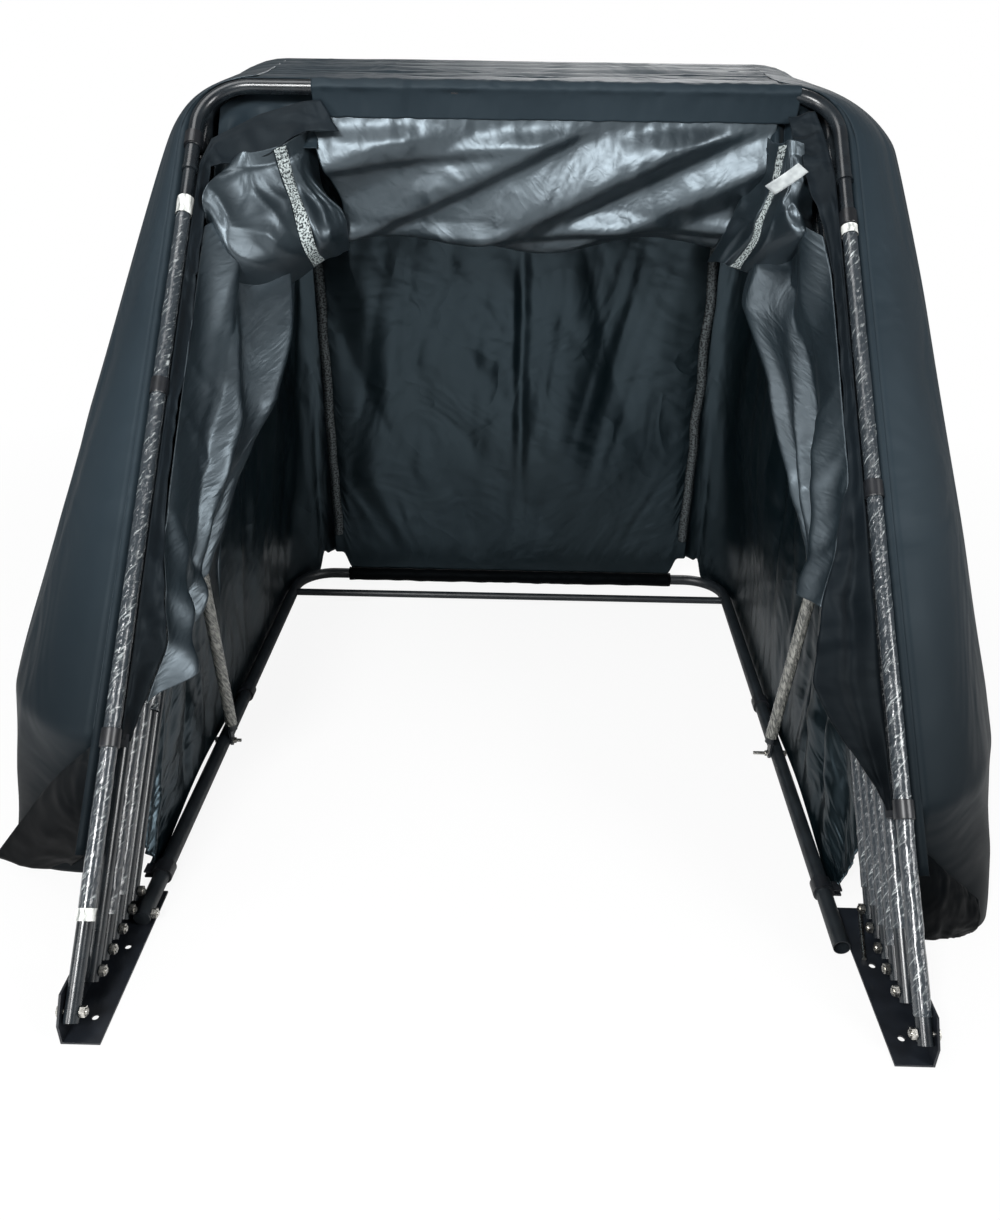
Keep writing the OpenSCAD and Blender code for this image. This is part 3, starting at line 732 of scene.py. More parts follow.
white_room()
pale_floor()
soft_lamp("key", (-1.0, -2.3, 2.5), (0, 0.9, 0.6), 1.0, 138)
soft_lamp("fill", (2.8, -1.2, 2.4), (0, 0.8, 0.5), 1.4, 85)
soft_lamp("side", (-2.3, -1.7, 1.1), (0.4, 0.7, 0.7), 1.0, 24)
soft_lamp("top", (-1.0, 0.6, 3.4), (0, 0.8, 0.8), 1.6, 28)
soft_lamp("rear", (0.6, 4.0, 2.6), (0, 0.9, 0.6), 2.0, 55)
bpy.context.scene.view_settings.view_transform = "Standard"
print("stage set")

# %% [markdown]
# ## The roof
# The cover is sewn round the front bar in a flat pocket, and the roof hangs slack from the
# pocket's stitched edge back to the rear bar. The pocket is one sheet wrapped round the bar,
# and the roof is a sheet with folds.

# %% Front pocket and bar sleeves
POCKET_DROP = 0.045


def pocket(centre, x0, x1, drop, seed):
    """A sheet wrapped round a bar; with a drop, both its ends run down to one stitched edge."""
    round_r = 0.0145

    def place(u, v):
        x = mix(x0, x1, u)
        wrinkle = 0.004 * grain(x * 26, v * 3, seed)
        wrinkle += 0.002 * grain(x * 70, v * 5, seed + 4)
        if drop and abs(v - 0.5) > 0.28:
            side = -1 if v < 0.5 else 1
            down = (abs(v - 0.5) - 0.28) / 0.22
            y = side * mix(round_r, 0.0016, down ** 0.7) + wrinkle * (1 - down)
            ripple = 0.002 * grain(x * 40, 0, seed) * down
            return centre + Vector((x, y, -drop * down ** 1.1 - ripple))
        angle = (mix(1.0, 0.0, (v - 0.22) / 0.56) if drop else mix(-0.5, 1.5, v)) * math.pi
        radius = round_r + abs(wrinkle) * 0.7
        return centre + Vector((x, radius * math.cos(angle), radius * math.sin(angle)))
    return place


def bar_sleeve(i, x0, x1, drop, cols, rows, around, levels):
    rule = pocket(on_hoop(i, 0, reach(i)), x0, x1, drop, i)
    thing = sheet_mesh(f"sleeve_{i}", rule, cols, rows, (x1 - x0, around))
    finish_cloth(thing, OUTSIDE, OUTSIDE, 0.001, levels)
    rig.ride(thing, f"hoop_{i}" if i < 6 else "base")
    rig.replaces(thing, f"hoop_{i}_sleeve")
    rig.slot(thing, "cover_outside")
    flat, area = flat_size(rule, 100, 36)
    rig.sheet(thing, flat=flat, area=area, held="stretched", rests_on=[f"hoop_{i}_top"])
    print(thing.name, "cut", [round(c, 3) for c in flat])


bar_sleeve(1, -0.345, 0.470, POCKET_DROP, cols=150, rows=36, around=2 * POCKET_DROP + 0.05, levels=1)
for i in range(2, 7):
    bar_sleeve(i, BEND - HALF, HALF - BEND, 0, cols=70, rows=20, around=0.087, levels=0)

# %% [markdown]
# The slack roof drops from the stitched edge in an even curve, then lies in a low valley and
# climbs to the rear bar. It gathers along the stitching and falls in long diagonal folds.

# %% Slack roof
ROOF_SAG = 0.262
FOLDS = ((-0.90, 0.0), (-0.35, 0.012), (-0.05, -0.008), (0.30, 0.016), (0.42, -0.006), (0.84, 0.030),
         (1.04, -0.008), (1.32, 0.020), (1.56, -0.008), (1.90, 0.008))


def roof_fold(x, t):
    """How far the roof stands forward: x across in metres, t from 0 at the stitching to 1."""
    high = blend_table(FOLDS, t + 2.3 * x)
    off = t - (0.40 - 0.56 * (x + 0.369))
    crease = smooth(1 + off / 0.30) if off < 0 else smooth(1 - off / 0.08)
    high += 0.014 * crease * smooth((0.10 - x) / 0.25)
    off = t - mix(0.98, 0.87, smooth((x + 0.06) / 0.22))
    high += 0.012 * smooth(1 + off / 0.16) if off < 0 else 0.012 - 0.024 * smooth(off / 0.10)
    return high


def roof_rule(u, v):
    c = 2 * u - 1
    front = on_hoop(1, 0, reach(1)) + Vector((0, 0, -0.040))
    rear = on_hoop(6, 0, reach(6)) - 0.0155 * Vector((0, math.sin(math.radians(40)),
                                                      math.cos(math.radians(40))))
    w = mix(v, smooth(v), 0.85)
    p = front.lerp(rear, w)
    sag = ROOF_SAG * (0.95 + 0.05 * math.cos(math.radians(270 * c))) * arch(w) ** 0.6
    ends = smooth((v - 0.5) / 0.5)
    left = mix(mix(0.352, 0.312, smooth(v / 0.25)), 0.440, ends)
    right = mix(mix(0.440, 0.375, smooth(v / 0.42)), 0.440, ends)
    x = mix(-left, right, u)
    t = sag / 0.225 if v < 0.5 else 1.16
    fade = (1 - smooth((v - 0.42) / 0.2)) * smooth(v / 0.06)
    high = roof_fold(x, t) * fade
    high += 0.0035 * grain(x * 62, t * 3, 8) * smooth(v / 0.01) * max(0, 1 - t * 3.2)
    high += 0.005 * crumple((x, t * 0.2, 2.0), 9.0, 6) * fade
    high += 0.012 * billow((c * 1.4, v * 2.0, 3.0), 2.2, 1).y * ends * arch(v)
    return Vector((x, p.y - high, p.z - sag - high * 0.2))


roof, flat, area = dress("roof_cloth", roof_rule, (132, 90), (0.95, 0.75), (OUTSIDE, LINING),
                         "cover_lining", node="roof_slack",
                         squash={"axis": (0, 0.488, 0.873), "keep": 0.05,
                                 "anchor": tuple(on_hoop(6, 0, reach(6)))})
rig.sheet(roof, flat=flat, area=area, held="hung", rests_on=["hoop_1_top", "hoop_6_top"])

# %% [markdown]
# ## The back wall
# The back wall hangs from the rear hoop's bar to the floor bar, where it ends in a sewn hem.
# It is nearly taut, with a seam down its middle and one near each side.

# %% Back wall and its hem
PANEL_HALF = 0.424
BASE_BACK = 1.264
RAIL_Z = 0.015
HEM_R = 0.0143


def back_rule(u, v):
    c = 2 * u - 1
    bar = on_hoop(6, 0, reach(6))
    low = RAIL_Z + HEM_R
    hollow = 0.026 * arch(v) * (1 - c * c)
    seam = 0.008 * ridge(c, 0.04, 0.05) * arch(v)
    soft = billow((c * 1.1 + v * 0.5, v * 1.4, 5.0), 1.7, 2)
    long = crumple((c * 0.8 + v * 0.7, v * 0.5, 1.0), 1.6, 3) + 0.6 * crumple(
        (c * 1.0 - v * 0.5, v * 0.4, 4.0), 2.4, 5)
    fan = crumple((c * (2.2 - v * 3), v * 0.9, 7.0), 2.2, 6) * ridge(v, 0.13, 0.16)
    held = arch(v) ** 0.6 * (1 - abs(c) ** 5)
    return Vector((PANEL_HALF * c, mix(BASE_BACK, bar.y, v) - hollow + (0.020 * soft.y
                   + 0.014 * long + 0.016 * fan) * held + seam,
                   mix(low + 0.043 * smooth((abs(c) - 0.915) / 0.03), bar.z - 0.0145, v)))


def hem_roll(u, v):
    """The hem wrapped round the floor bar."""
    angle = (0.5 - 2 * v) * math.pi
    radius = HEM_R + 0.0015 + 0.0020 * grain(u * 30, v * 3, 2)
    return Vector((mix(-0.392, 0.392, u), BASE_BACK + radius * math.cos(angle),
                   RAIL_Z + radius * math.sin(angle)))


wall, flat, area = dress("back_cloth", back_rule, (112, 106), (0.85, 1.08), (SHADED_BACK_LINING, OUTSIDE),
                         "cover_lining", node="back_panel")
roll = dress("back_hem", hem_roll, (90, 22), (0.784, 0.09), (SHADED_HEM, SHADED_HEM), "cover_lining",
             node="hem_sleeve", thick=0.001, levels=0)[0]
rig.sheet(wall, flat=flat, area=area, held="hung", rests_on=["hoop_6_top", "rear_bar"],
         with_pieces=[roll])

# %% [markdown]
# ## Side walls
# Each side wall runs from the floor rail up to the rear hoop's leg, and turns the corner into
# the back wall. Its lower edge is clipped to the rail, and its folds run up from the clips.

# %% Side walls
CLIP_FRONT_Y = 0.200
CLIP_MID = 5 / 12
TURN = 0.78
RAIL_X = HALF - LEG_R - 0.0006 - RAIL_R
RAIL_FRONT, RAIL_REAR = 0.082, 1.139


def rail_place(side, y):
    """Where the rail's middle is at a distance back; the right rail lies loose in front."""
    if side == LEFT:
        return RAIL_X, RAIL_Z
    t = (y - RAIL_FRONT) / (RAIL_REAR - RAIL_FRONT)
    return mix(0.4796, RAIL_X, t), mix(RAIL_R, RAIL_Z, t)


def wall_rule(side):
    bar = on_hoop(6, 0, reach(6))

    def place(u, v):
        y = mix(CLIP_FRONT_Y, BASE_BACK - 0.110, u / TURN)
        rx, rz = rail_place(side, y)
        lift = 0.016 * math.sin(min(math.pi, math.pi * u / CLIP_MID)) ** 2 if u < CLIP_MID else 0.0
        low = Vector((rx + RAIL_R + 0.007, y, rz - 0.006 + lift))
        high = on_hoop(6, HALF, mix(0.110, reach(6) - BEND - 0.025, min(1, u / TURN)),
                       -TOP_R - 0.0018)
        rear = Vector((PANEL_HALF - 0.010, mix(BASE_BACK + 0.002, bar.y + 0.002, v),
                       mix(RAIL_Z + 0.065, bar.z - 0.0138 - 0.016, v)))
        k = smooth((u - TURN) / (1 - TURN))
        bow = 0.050 * smooth((u - 0.45) / 0.35) * arch(v) ** 2 * (1 - k)
        p = (low.lerp(high, v) - Vector((bow, 0, 0))).lerp(rear, k)
        p.z -= (1 - v) ** 8 * (rear.z - low.z) * (k - smooth((k - 0.50) / 0.16)) if 0 < k < 0.66 else 0.0
        fold = 0.022 * crumple((u * 4.6 - v * 0.9, v * 0.35, side * 2.0), 1.5, 4)
        fold += 0.007 * crumple((u * 3.0 + v * 0.6, v * 0.9, side * 1.0), 2.6, 6)
        fold += 0.008 * billow((u * 2.4, v * 0.9, 4.0 + side), 2.4, 4).x
        p.x += (fold * arch(v) ** 0.7 - 0.004) * (1 - k)
        return Vector((side * p.x, p.y, p.z))
    return place


for side, word in WORD.items():
    faces = (OUTSIDE, SHADED_BACK_LINING) if side == RIGHT else (SHADED_BACK_LINING, OUTSIDE)
    wall, flat, area = dress(f"cloth_side_wall_{word}", wall_rule(side), (110, 70), (1.25, 0.75),
                             faces, "cover_outside", node=f"side_wall_{word}")
    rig.sheet(wall, flat=flat, area=area, held="hung",
             rests_on=[f"hoop_6_leg_{word}", f"rail_{word}"])


# %% Corners of the back wall
def corner_rule(side):
    """From the inside of the rear hoop's bend to the top corner of the wall."""
    bar = on_hoop(6, 0, reach(6))

    def place(u, v):
        turn = u * math.pi / 2
        bend = on_hoop(6, HALF - BEND + (BEND - TOP_R) * math.cos(turn),
                       reach(6) - BEND + (BEND - TOP_R) * math.sin(turn))
        foot = on_hoop(6, HALF - 0.004, reach(6) - BEND - 0.035, -TOP_R - 0.001)
        corner = Vector((PANEL_HALF, bar.y - 0.006, bar.z - 0.030))
        inner = foot.lerp(corner, smooth(u))
        p = bend.lerp(inner, v)
        p.y += 0.012 * arch(v) * math.sin(9 * u + 1)
        return Vector((side * p.x, p.y, p.z))
    return place


for side, word in WORD.items():
    corner, flat, area = dress(f"corner_{word}", corner_rule(side), (24, 24), (0.13, 0.08),
                               (OUTSIDE, OUTSIDE), "cover_outside", thick=0.001, levels=0)
    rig.sheet(corner, flat=flat, area=area, held="stretched", rests_on=["hoop_6_top"])


# %% Seams down the back corners
def seam_rule(side):
    bar = on_hoop(6, 0, reach(6))

    def place(u, v):
        up = mix(0.10, 0.80, v)
        sway = 0.004 * grain(v * 9, side, 2)
        y = mix(BASE_BACK, bar.y, up) - 0.006 - 0.010 * arch(u)
        return Vector((side * (PANEL_HALF - 0.003 - 0.020 * u + sway), y, mix(RAIL_Z, bar.z, up)))
    return place


for side, word in WORD.items():
    seam, flat, area = dress(f"corner_seam_{word}", seam_rule(side), (6, 160), (0.022, 0.75),
                             (SHADED_SEAM, SHADED_SEAM), "cover_lining", thick=0.0014, levels=0)
    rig.sheet(seam, flat=flat, area=area, held="stretched", rests_on=["rear_bar"])

# %% [markdown]
# ## Side covers and their lining
# With the hoops folded back, the side cloth has nothing to stretch it: outside the legs it
# hangs to the floor and stands out at the bottom, and inside the legs the rest of it hangs
# behind the front hoop, its lower edge rising to the strut.

# %% Slack side covers
SIDE_FLARE = 0.205
COVER_FOOT = 0.640


def cover_rule(side):
    start, sewn = HALF + LEG_R + 0.015, HALF + TOP_R + 0.003
    top = on_hoop(1, 0, reach(1) - BEND - 0.020)
    low_clip = on_hoop(1, 0, 0.345 if side == LEFT else 0.274)
    foot, hip, shoulder = (0.040, 0.032, 0.032) if side == LEFT else (0.0, -0.020, 0.080)

    def hanging(u, v):
        z = mix(0.003 + 0.040 * u * u, top.z, v)
        low = 1 - min(1.0, z / low_clip.z)
        if z < low_clip.z:
            front = mix(low_clip.y, low_clip.y + foot, low)
        else:
            front = low_clip.y + (z - low_clip.z) / math.tan(LEAN[0])
        rear = mix(COVER_FOOT, on_hoop(6, 0, reach(1) - BEND).y - 0.006, z / top.z)
        corner = mix(0.75, 0.45, smooth(low))
        out = (SIDE_FLARE * (1 - v) ** 0.9 + mix(hip, shoulder, v)) * math.sin(
            math.pi * u ** corner) ** 0.8
        tuck = 0.050 * smooth((0.26 - v) / 0.24) if side == LEFT else 0.016 * smooth((0.18 - v) / 0.18)
        out -= tuck * arch(u) ** 0.5
        folds = 0.018 * billow((u * 2.4, v * 0.5, 6.0 + side), 2.2, 5).x
        folds += 0.014 * crumple((u * 2.6 + v * 0.4, v * 0.55, side * 1.0), 1.3, 9)
        folds -= 0.012 * ridge(u - 0.15 * v, 0.30, 0.07) - 0.010 * ridge(u - 0.1 * v, 0.42, 0.05)
        folds *= arch(u ** 0.6) * (1 - v * 0.75)
        x = mix(start, sewn, smooth((u - 0.8) / 0.2)) + out
        return Vector((side * max(start - 0.012, x + folds), mix(front, rear, u), z))

    def place(u, v):
        if v <= 0.86:
            return hanging(u, v / 0.86)
        w = (v - 0.86) / 0.14
        edge = hanging(u, 1.0)
        over = on_hoop(1 + 5 * u, side * 0.44, reach(1 + 5 * u) + 0.024)
        knee = Vector((mix(edge.x, side * (HALF + 0.022), 0.5 * u + 0.35), mix(edge.y, over.y, 0.9),
                       mix(edge.z, over.z, 0.9)))
        return edge.lerp(knee, w).lerp(knee.lerp(over, w), w)
    return place


for side, word in WORD.items():
    faces = (OUTSIDE, LINING) if side == RIGHT else (LINING, OUTSIDE)
    cover, flat, area = dress(f"cloth_side_cover_{word}", cover_rule(side), (100, 110), (0.9, 1.1),
                              faces, "cover_outside", node=f"side_cover_{word}",
                              squash=flat_to_leg(side, 0.556))
    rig.sheet(cover, flat=flat, area=area, held="hung", rests_on=[f"hoop_6_leg_{word}"])

# %% [markdown]
# ## The front hem
# The cover's front edge is a matte hem that hangs inside the front hoop. It leaves the pocket's
# end, crosses the corner to the top clip, then runs down inside the leg, and widens to a
# hanging point above the lowest clip. Its two edges are given as places on the hoop: how far
# across, at each distance along the leg.

# %% Edges of the hem
HEM_EDGE = {LEFT: ((0.345, 0.514), (0.417, 0.494), (0.490, 0.478), (0.549, 0.489), (0.649, 0.503),
                   (0.804, 0.508), (1.027, 0.504), (1.205, 0.505), (1.300, 0.505)),
            RIGHT: ((0.274, 0.515), (0.447, 0.430), (0.560, 0.450), (0.658, 0.479), (0.714, 0.491),
                    (0.760, 0.505), (1.100, 0.507), (1.203, 0.497), (1.280, 0.480), (1.300, 0.476))}
CORNER_TOP = {LEFT: ((0.518, 1.300), (0.505, 1.345), (0.430, 1.396), (0.360, 1.424), (0.330, 1.428)),
              RIGHT: ((0.518, 1.300), (0.512, 1.340), (0.505, 1.380), (0.495, 1.420))}
CORNER_LOW = {LEFT: ((0.505, 1.300), (0.480, 1.309), (0.415, 1.330), (0.355, 1.378), (0.300, 1.384)),
              RIGHT: ((0.476, 1.300), (0.470, 1.330), (0.462, 1.380), (0.455, 1.420))}


def along(points, t):
    """A place part of the way along a line of points."""
    spot = min(t, 0.99999) * (len(points) - 1)
    k = int(spot)
    a, b = points[k], points[k + 1]
    return tuple(mix(p, q, spot - k) for p, q in zip(a, b))


def hem_rule(side):
    low = CLIPS[side][0]

    def place(u, v):
        if v < 0.75:
            s = mix(low, 1.300, v / 0.75)
            outer, inner = (HALF - LEG_R - 0.003, s), (blend_table(HEM_EDGE[side], s), s)
        else:
            k = (v - 0.75) / 0.25
            outer, inner = along(CORNER_TOP[side], k), along(CORNER_LOW[side], k)
        x, s = (mix(p, q, u) for p, q in zip(outer, inner))
        out = -0.004 - 0.020 * u - 0.006 * arch(u)
        out += 0.004 * grain(u * 2, v * 16, side * 3) * u
        out += 0.012 * crumple((x * 0.8, s, side), 11.0, 4) * smooth(u * 3)
        if side == RIGHT and s < 0.734:
            out -= 0.014 * ridge(u, 0.35, 0.3) * math.sin(math.pi * (s - low) / (0.734 - low))
        return on_hoop(1, side * x, s, out)
    return place


for side, word in WORD.items():
    hem, flat, area = dress(f"front_hem_{word}", hem_rule(side), (14, 180), (0.06, 1.3), (SHADED_HEM, SHADED_HEM),
                            "cover_outside", "hoop_1", thick=0.0016, levels=0)
    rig.sheet(hem, flat=flat, area=area, held="hung", rests_on=["hoop_1_clips"])

# %% [markdown]
# Behind the hem hangs the slack lining. It starts at the hem's inner edge, sweeps back and
# inwards to a free edge, and is gathered up towards the roof, where its lobes hang down.

# %% Slack side lining
FREE_EDGE = {LEFT: ((0.28, 0.480), (0.40, 0.465), (0.44, 0.445), (0.51, 0.425), (0.56, 0.405),
                    (0.62, 0.375), (0.72, 0.360), (0.83, 0.365), (0.98, 0.420)),
             RIGHT: ((0.25, 0.47), (0.43, 0.470), (0.51, 0.450), (0.655, 0.420), (0.76, 0.375),
                     (0.83, 0.400), (0.98, 0.44))}
LOW_END = {LEFT: (0.400, 0.520), RIGHT: (0.560, 0.560)}


def lining_rule(side):
    def place(u, v):
        near_low, far_low = LOW_END[side]
        s = mix(mix(near_low, far_low, u), mix(1.19, reach(6) - BEND - 0.06, u), v)
        p = on_hoop(1 + 5 * u, 0, s, -0.026 * (1 - u))
        near = blend_table(HEM_EDGE[side], s) + 0.002
        far = blend_table(FREE_EDGE[side], p.z)
        x = mix(near, far, smooth(u) * 0.35 + 0.65 * u)
        hang = arch(u) * 0.022 * arch(v)
        return Vector((side * (x - hang), p.y, p.z))
    return place


LINING_GRID = (56, 150)


def in_folds(side):
    """Lets a lining settle, with its hem edge and its top held, then adds its long soft folds."""
    cols, rows = LINING_GRID

    def share(k):
        return k % (cols + 1) / cols, k // (cols + 1) / rows

    def held(k):
        u, v = share(k)
        return 1.0 if u == 0.0 or v == 1.0 else 0.0

    def even(k):
        u, v = share(k)
        return max(1 - smooth((u - 0.08) / 0.35), smooth((v - 0.7) / 0.2))

    def inside(p):
        return Vector((side * min(abs(p.x), 0.507), p.y, p.z))

    def shape(thing):
        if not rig.quick():
            settle(thing, held, even, inside, extra=0.05, frames=45, limit=0.05)
        for point in thing.data.vertices:
            u, v = share(point.index)
            drift = grain(u * 0.8, v * 1.6, side * 2.0)
            wave = 0.5 + 0.5 * math.sin(2 * math.pi * (2.3 * u + 0.9 * v + 0.7 * drift))
            fold = 0.030 * wave ** 1.6 * (0.45 + 0.55 * abs(math.sin(3.7 * v + side))) * (1 - 0.55 * u ** 3)
            fold += 0.012 * (1 + billow((u * 1.2 + 0.6 * v, v * 1.5, side), 2.3, 4).x)
            point.co.x -= side * fold * min(1, u * 6)
    return shape


for side, word in WORD.items():
    faces = (LINING, OUTSIDE) if side == LEFT else (OUTSIDE, LINING)
    lining, flat, area = dress(f"cloth_side_lining_{word}", lining_rule(side), LINING_GRID, (0.35, 1.0),
                               faces, "cover_lining", node=f"side_lining_{word}",
                               squash=flat_to_leg(side, 0.505), shape=in_folds(side))
    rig.sheet(lining, flat=flat, area=area, held="hung", rests_on=[f"hoop_6_leg_{word}"])

# %% [markdown]
# ## Gathers at the top corners
# Where the side lining meets the roof, the spare cloth hangs in two lobes behind the hem's
# corner, joined by an overlocked seam that shows as a pale band. Each corner is a small net of
# places, from its lowest row to its highest, with a smooth surface drawn through it.

# %% Corner gathers, their seams and the tag
GATHER = {
    LEFT: (((0.505, 0.87, 0.755), (0.465, 0.87, 0.725), (0.415, 0.90, 0.745), (0.350, 0.94, 0.790),
            (0.325, 0.98, 0.795), (0.310, 1.02, 0.800)),
           ((0.507, 0.83, 0.830), (0.475, 0.80, 0.800), (0.410, 0.83, 0.810), (0.355, 0.89, 0.820),
            (0.325, 0.91, 0.830), (0.305, 0.98, 0.835)),
           ((0.507, 0.80, 0.890), (0.470, 0.80, 0.865), (0.410, 0.84, 0.875), (0.370, 0.895, 0.880),
            (0.335, 0.94, 0.880), (0.310, 0.98, 0.870)),
           ((0.500, 0.81, 0.925), (0.460, 0.83, 0.915), (0.425, 0.86, 0.920), (0.385, 0.90, 0.925),
            (0.360, 0.93, 0.930), (0.345, 0.97, 0.915)),
           ((0.480, 0.86, 0.955), (0.455, 0.855, 0.975), (0.435, 0.86, 0.975), (0.395, 0.88, 0.985),
            (0.370, 0.91, 1.000), (0.345, 0.95, 1.015))),
    RIGHT: (((0.505, 0.93, 0.795), (0.480, 0.92, 0.785), (0.430, 0.93, 0.785), (0.400, 0.96, 0.790),
             (0.375, 0.98, 0.795), (0.360, 1.02, 0.790)),
            ((0.507, 0.90, 0.855), (0.475, 0.83, 0.860), (0.435, 0.84, 0.855), (0.415, 0.90, 0.840),
             (0.395, 0.95, 0.855), (0.380, 0.99, 0.850)),
            ((0.500, 0.88, 0.900), (0.460, 0.83, 0.905), (0.435, 0.845, 0.900), (0.420, 0.895, 0.875),
             (0.405, 0.94, 0.885), (0.395, 0.98, 0.895)),
            ((0.485, 0.87, 0.945), (0.460, 0.85, 0.950), (0.445, 0.86, 0.940), (0.435, 0.90, 0.925),
             (0.425, 0.93, 0.930), (0.415, 0.97, 0.945)),
            ((0.470, 0.86, 1.000), (0.455, 0.86, 1.005), (0.445, 0.865, 1.005), (0.440, 0.88, 1.000),
             (0.430, 0.91, 1.000), (0.425, 0.95, 1.010)))}


def spline(points, t):
    """A smooth curve through a row of places."""
    spot = min(max(t, 0.0), 0.99999) * (len(points) - 1)
    k = int(spot)
    f = spot - k
    a, b, c, d = (points[min(max(n, 0), len(points) - 1)] for n in (k - 1, k, k + 1, k + 2))
    return 0.5 * (2 * b + (c - a) * f + (2 * a - 5 * b + 4 * c - d) * f ** 2
                  + (3 * b - a - 3 * c + d) * f ** 3)


def surface(rows, side):
    """A smooth surface through rows of places, on the left or the right."""
    net = [[Vector((side * x, y, z)) for x, y, z in row] for row in rows]
    return lambda u, v: spline([spline(row, u) for row in net], v)


def gather_rule(side):
    through = surface(GATHER[side], side)

    def place(u, v):
        free = math.sin(math.pi * min(1, v + 0.12)) ** 0.5
        fold = 0.030 * crumple((u * 1.7 + 0.6 * v, v * 0.8, side * 2.0), 1.3, 3)
        fold += 0.016 * billow((u * 2.0, v * 1.6, side * 3.0), 2.2, 5).y
        fold -= 0.010 * ridge(u, 0.6, 0.10)
        return through(u, v) - Vector((0, 1, -0.3)) * fold * free
    return place


def band_rule(rule):
    """A narrow band that follows a surface from its lowest row to its highest."""
    def place(u, v):
        a, b = (rule(n, mix(0.02, 0.98, v)) for n in (0.56, 0.64))
        return (a + b) / 2 + (b - a).normalized() * 0.023 * (u - 0.5) - Vector((0, 0.006, 0))
    return place


def tag_rule(u, v):
    p = Vector((0.404, 0.812, 0.939)).lerp(Vector((0.452, 0.808, 0.974)), u)
    return p + v * Vector((0.018, 0, -0.013)) + Vector((0, -0.005 * arch(u), 0))


for side, word in WORD.items():
    rule, squash = gather_rule(side), flat_to_leg(side, 0.505)
    gather, flat, area = dress(f"corner_gather_{word}", rule, (70, 80), (0.28, 0.27),
                               (LINING, LINING), "cover_lining", squash=squash, levels=0)
    band = dress(f"seam_band_{word}", band_rule(rule), (8, 90), (0.023, 0.24), (SEAM, SEAM),
                 "cover_lining", squash=squash, levels=0)[0]
    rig.sheet(gather, flat=flat, area=area, held="gathered", rests_on=[f"hoop_6_leg_{word}"],
             with_pieces=[band])
tag, flat, area = dress("woven_tag", tag_rule, (12, 6), (0.052, 0.022), (TAG, TAG), "cover_lining",
                        squash=flat_to_leg(RIGHT, 0.505), thick=0.0008, levels=0)
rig.sheet(tag, flat=flat, area=area, held="hung", rests_on=["hoop_6_leg_right"])

# %% [markdown]
# ## Cloth inside the top corners
# Inside the bends of the front two hoops the cover hangs in soft upright folds.

# %% Corner curtains
def curtain_rule(side):
    def place(u, v):
        x = mix(0.508, 0.340 if side == LEFT else 0.425, u)
        edge = HALF - 0.012 - BEND
        over = max(0.0, x - edge) / BEND
        top = on_hoop(2, 0, reach(2) - BEND + (BEND - 0.016) * math.sqrt(max(0.0, 1 - over * over)), 0.0)
        low = on_hoop(1, 0, mix(1.29, 1.37, smooth(u * 1.4)), -0.050)
        p = low.lerp(Vector((0, top.y - 0.030, top.z - 0.004)), v)
        fold = 0.007 * math.sin(19 * u + 1.5 * v + side) + 0.010 * crumple((u * 2, v * 0.5, side), 1.7, 8)
        return Vector((side * x, p.y + fold * math.sin(math.pi * min(1, 0.2 + v)), p.z))
    return place


for side, word in WORD.items():
    curtain, flat, area = dress(f"corner_curtain_{word}", curtain_rule(side), (44, 30), (0.19, 0.11),
                                (OUTSIDE, OUTSIDE), "cover_outside", "hoop_2", thick=0.001)
    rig.sheet(curtain, flat=flat, area=area, held="hung", rests_on=["hoop_2_top"])

# %% [markdown]
# ### Where the covers meet the floor
# At the floor the covers' front corners are turned out: a flap of the hem lies against the
# front of each cover, and shades what is under it.

# %% Turned corners at the floor
FLAP = {LEFT: (((0.558, 0.158, 0.272), (0.640, 0.180, 0.190), (0.785, 0.236, 0.006)),
               ((0.556, 0.146, 0.236), (0.620, 0.160, 0.150), (0.727, 0.214, 0.004)),
               ((0.556, 0.160, 0.100), (0.600, 0.180, 0.070), (0.665, 0.214, 0.003))),
        RIGHT: (((0.556, 0.120, 0.180), (0.615, 0.110, 0.125), (0.672, 0.124, 0.070)),
                ((0.556, 0.110, 0.105), (0.615, 0.102, 0.075), (0.680, 0.118, 0.033)),
                ((0.556, 0.118, 0.010), (0.620, 0.110, 0.006), (0.676, 0.126, 0.003)))}


def flap_rule(side):
    through = surface(FLAP[side], side)
    return lambda u, v: through(u, v) - Vector((0, 0.004 * crumple((u * 2, v, side), 2.0, 2), 0))


# The flaps take the hem cloth, whose dark colour is painted shade.
for side, word in WORD.items():
    flap, flat, area = dress(f"floor_flap_{word}", flap_rule(side), (40, 30), (0.33, 0.17), (SHADED_HEM, SHADED_HEM),
                             "cover_outside", squash=flat_to_leg(side, 0.556), thick=0.0014, levels=0)
    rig.sheet(flap, flat=flat, area=area, held="hung", rests_on=[f"hoop_1_leg_{word}"])

# %% [markdown]
# ## Cloth between the hoops
# Between each hoop and the next runs a band of cloth, round the outside of the legs, the bends
# and the bars. Folded back it is only a narrow pleat; swung forward it opens into a panel.
# Each band starts on its own hoop and blends across that hoop's joint, so its far edge stays
# with the next hoop.

# %% A path round a hoop
def round_hoop(i, q, s_low, off_leg, off_top):
    """A point on a U round hoop i: q runs 0 to 1 from the left leg over the bar to the right."""
    top = reach(i)
    leg, arc, bar = top - BEND - s_low, BEND * math.pi / 2, HALF - BEND
    total = leg + arc + bar
    side, d = (LEFT, q * 2 * total) if q < 0.5 else (RIGHT, (1 - q) * 2 * total)
    if d < leg:
        return side * (HALF + off_leg), s_low + d
    if d < leg + arc:
        turn = (d - leg) / BEND
        off = mix(off_leg, off_top, turn / (math.pi / 2))
        return (side * (bar + (BEND + off) * math.cos(turn)),
                top - BEND + (BEND + off) * math.sin(turn))
    return side * max(0.0, bar - (d - leg - arc)), top + off_top


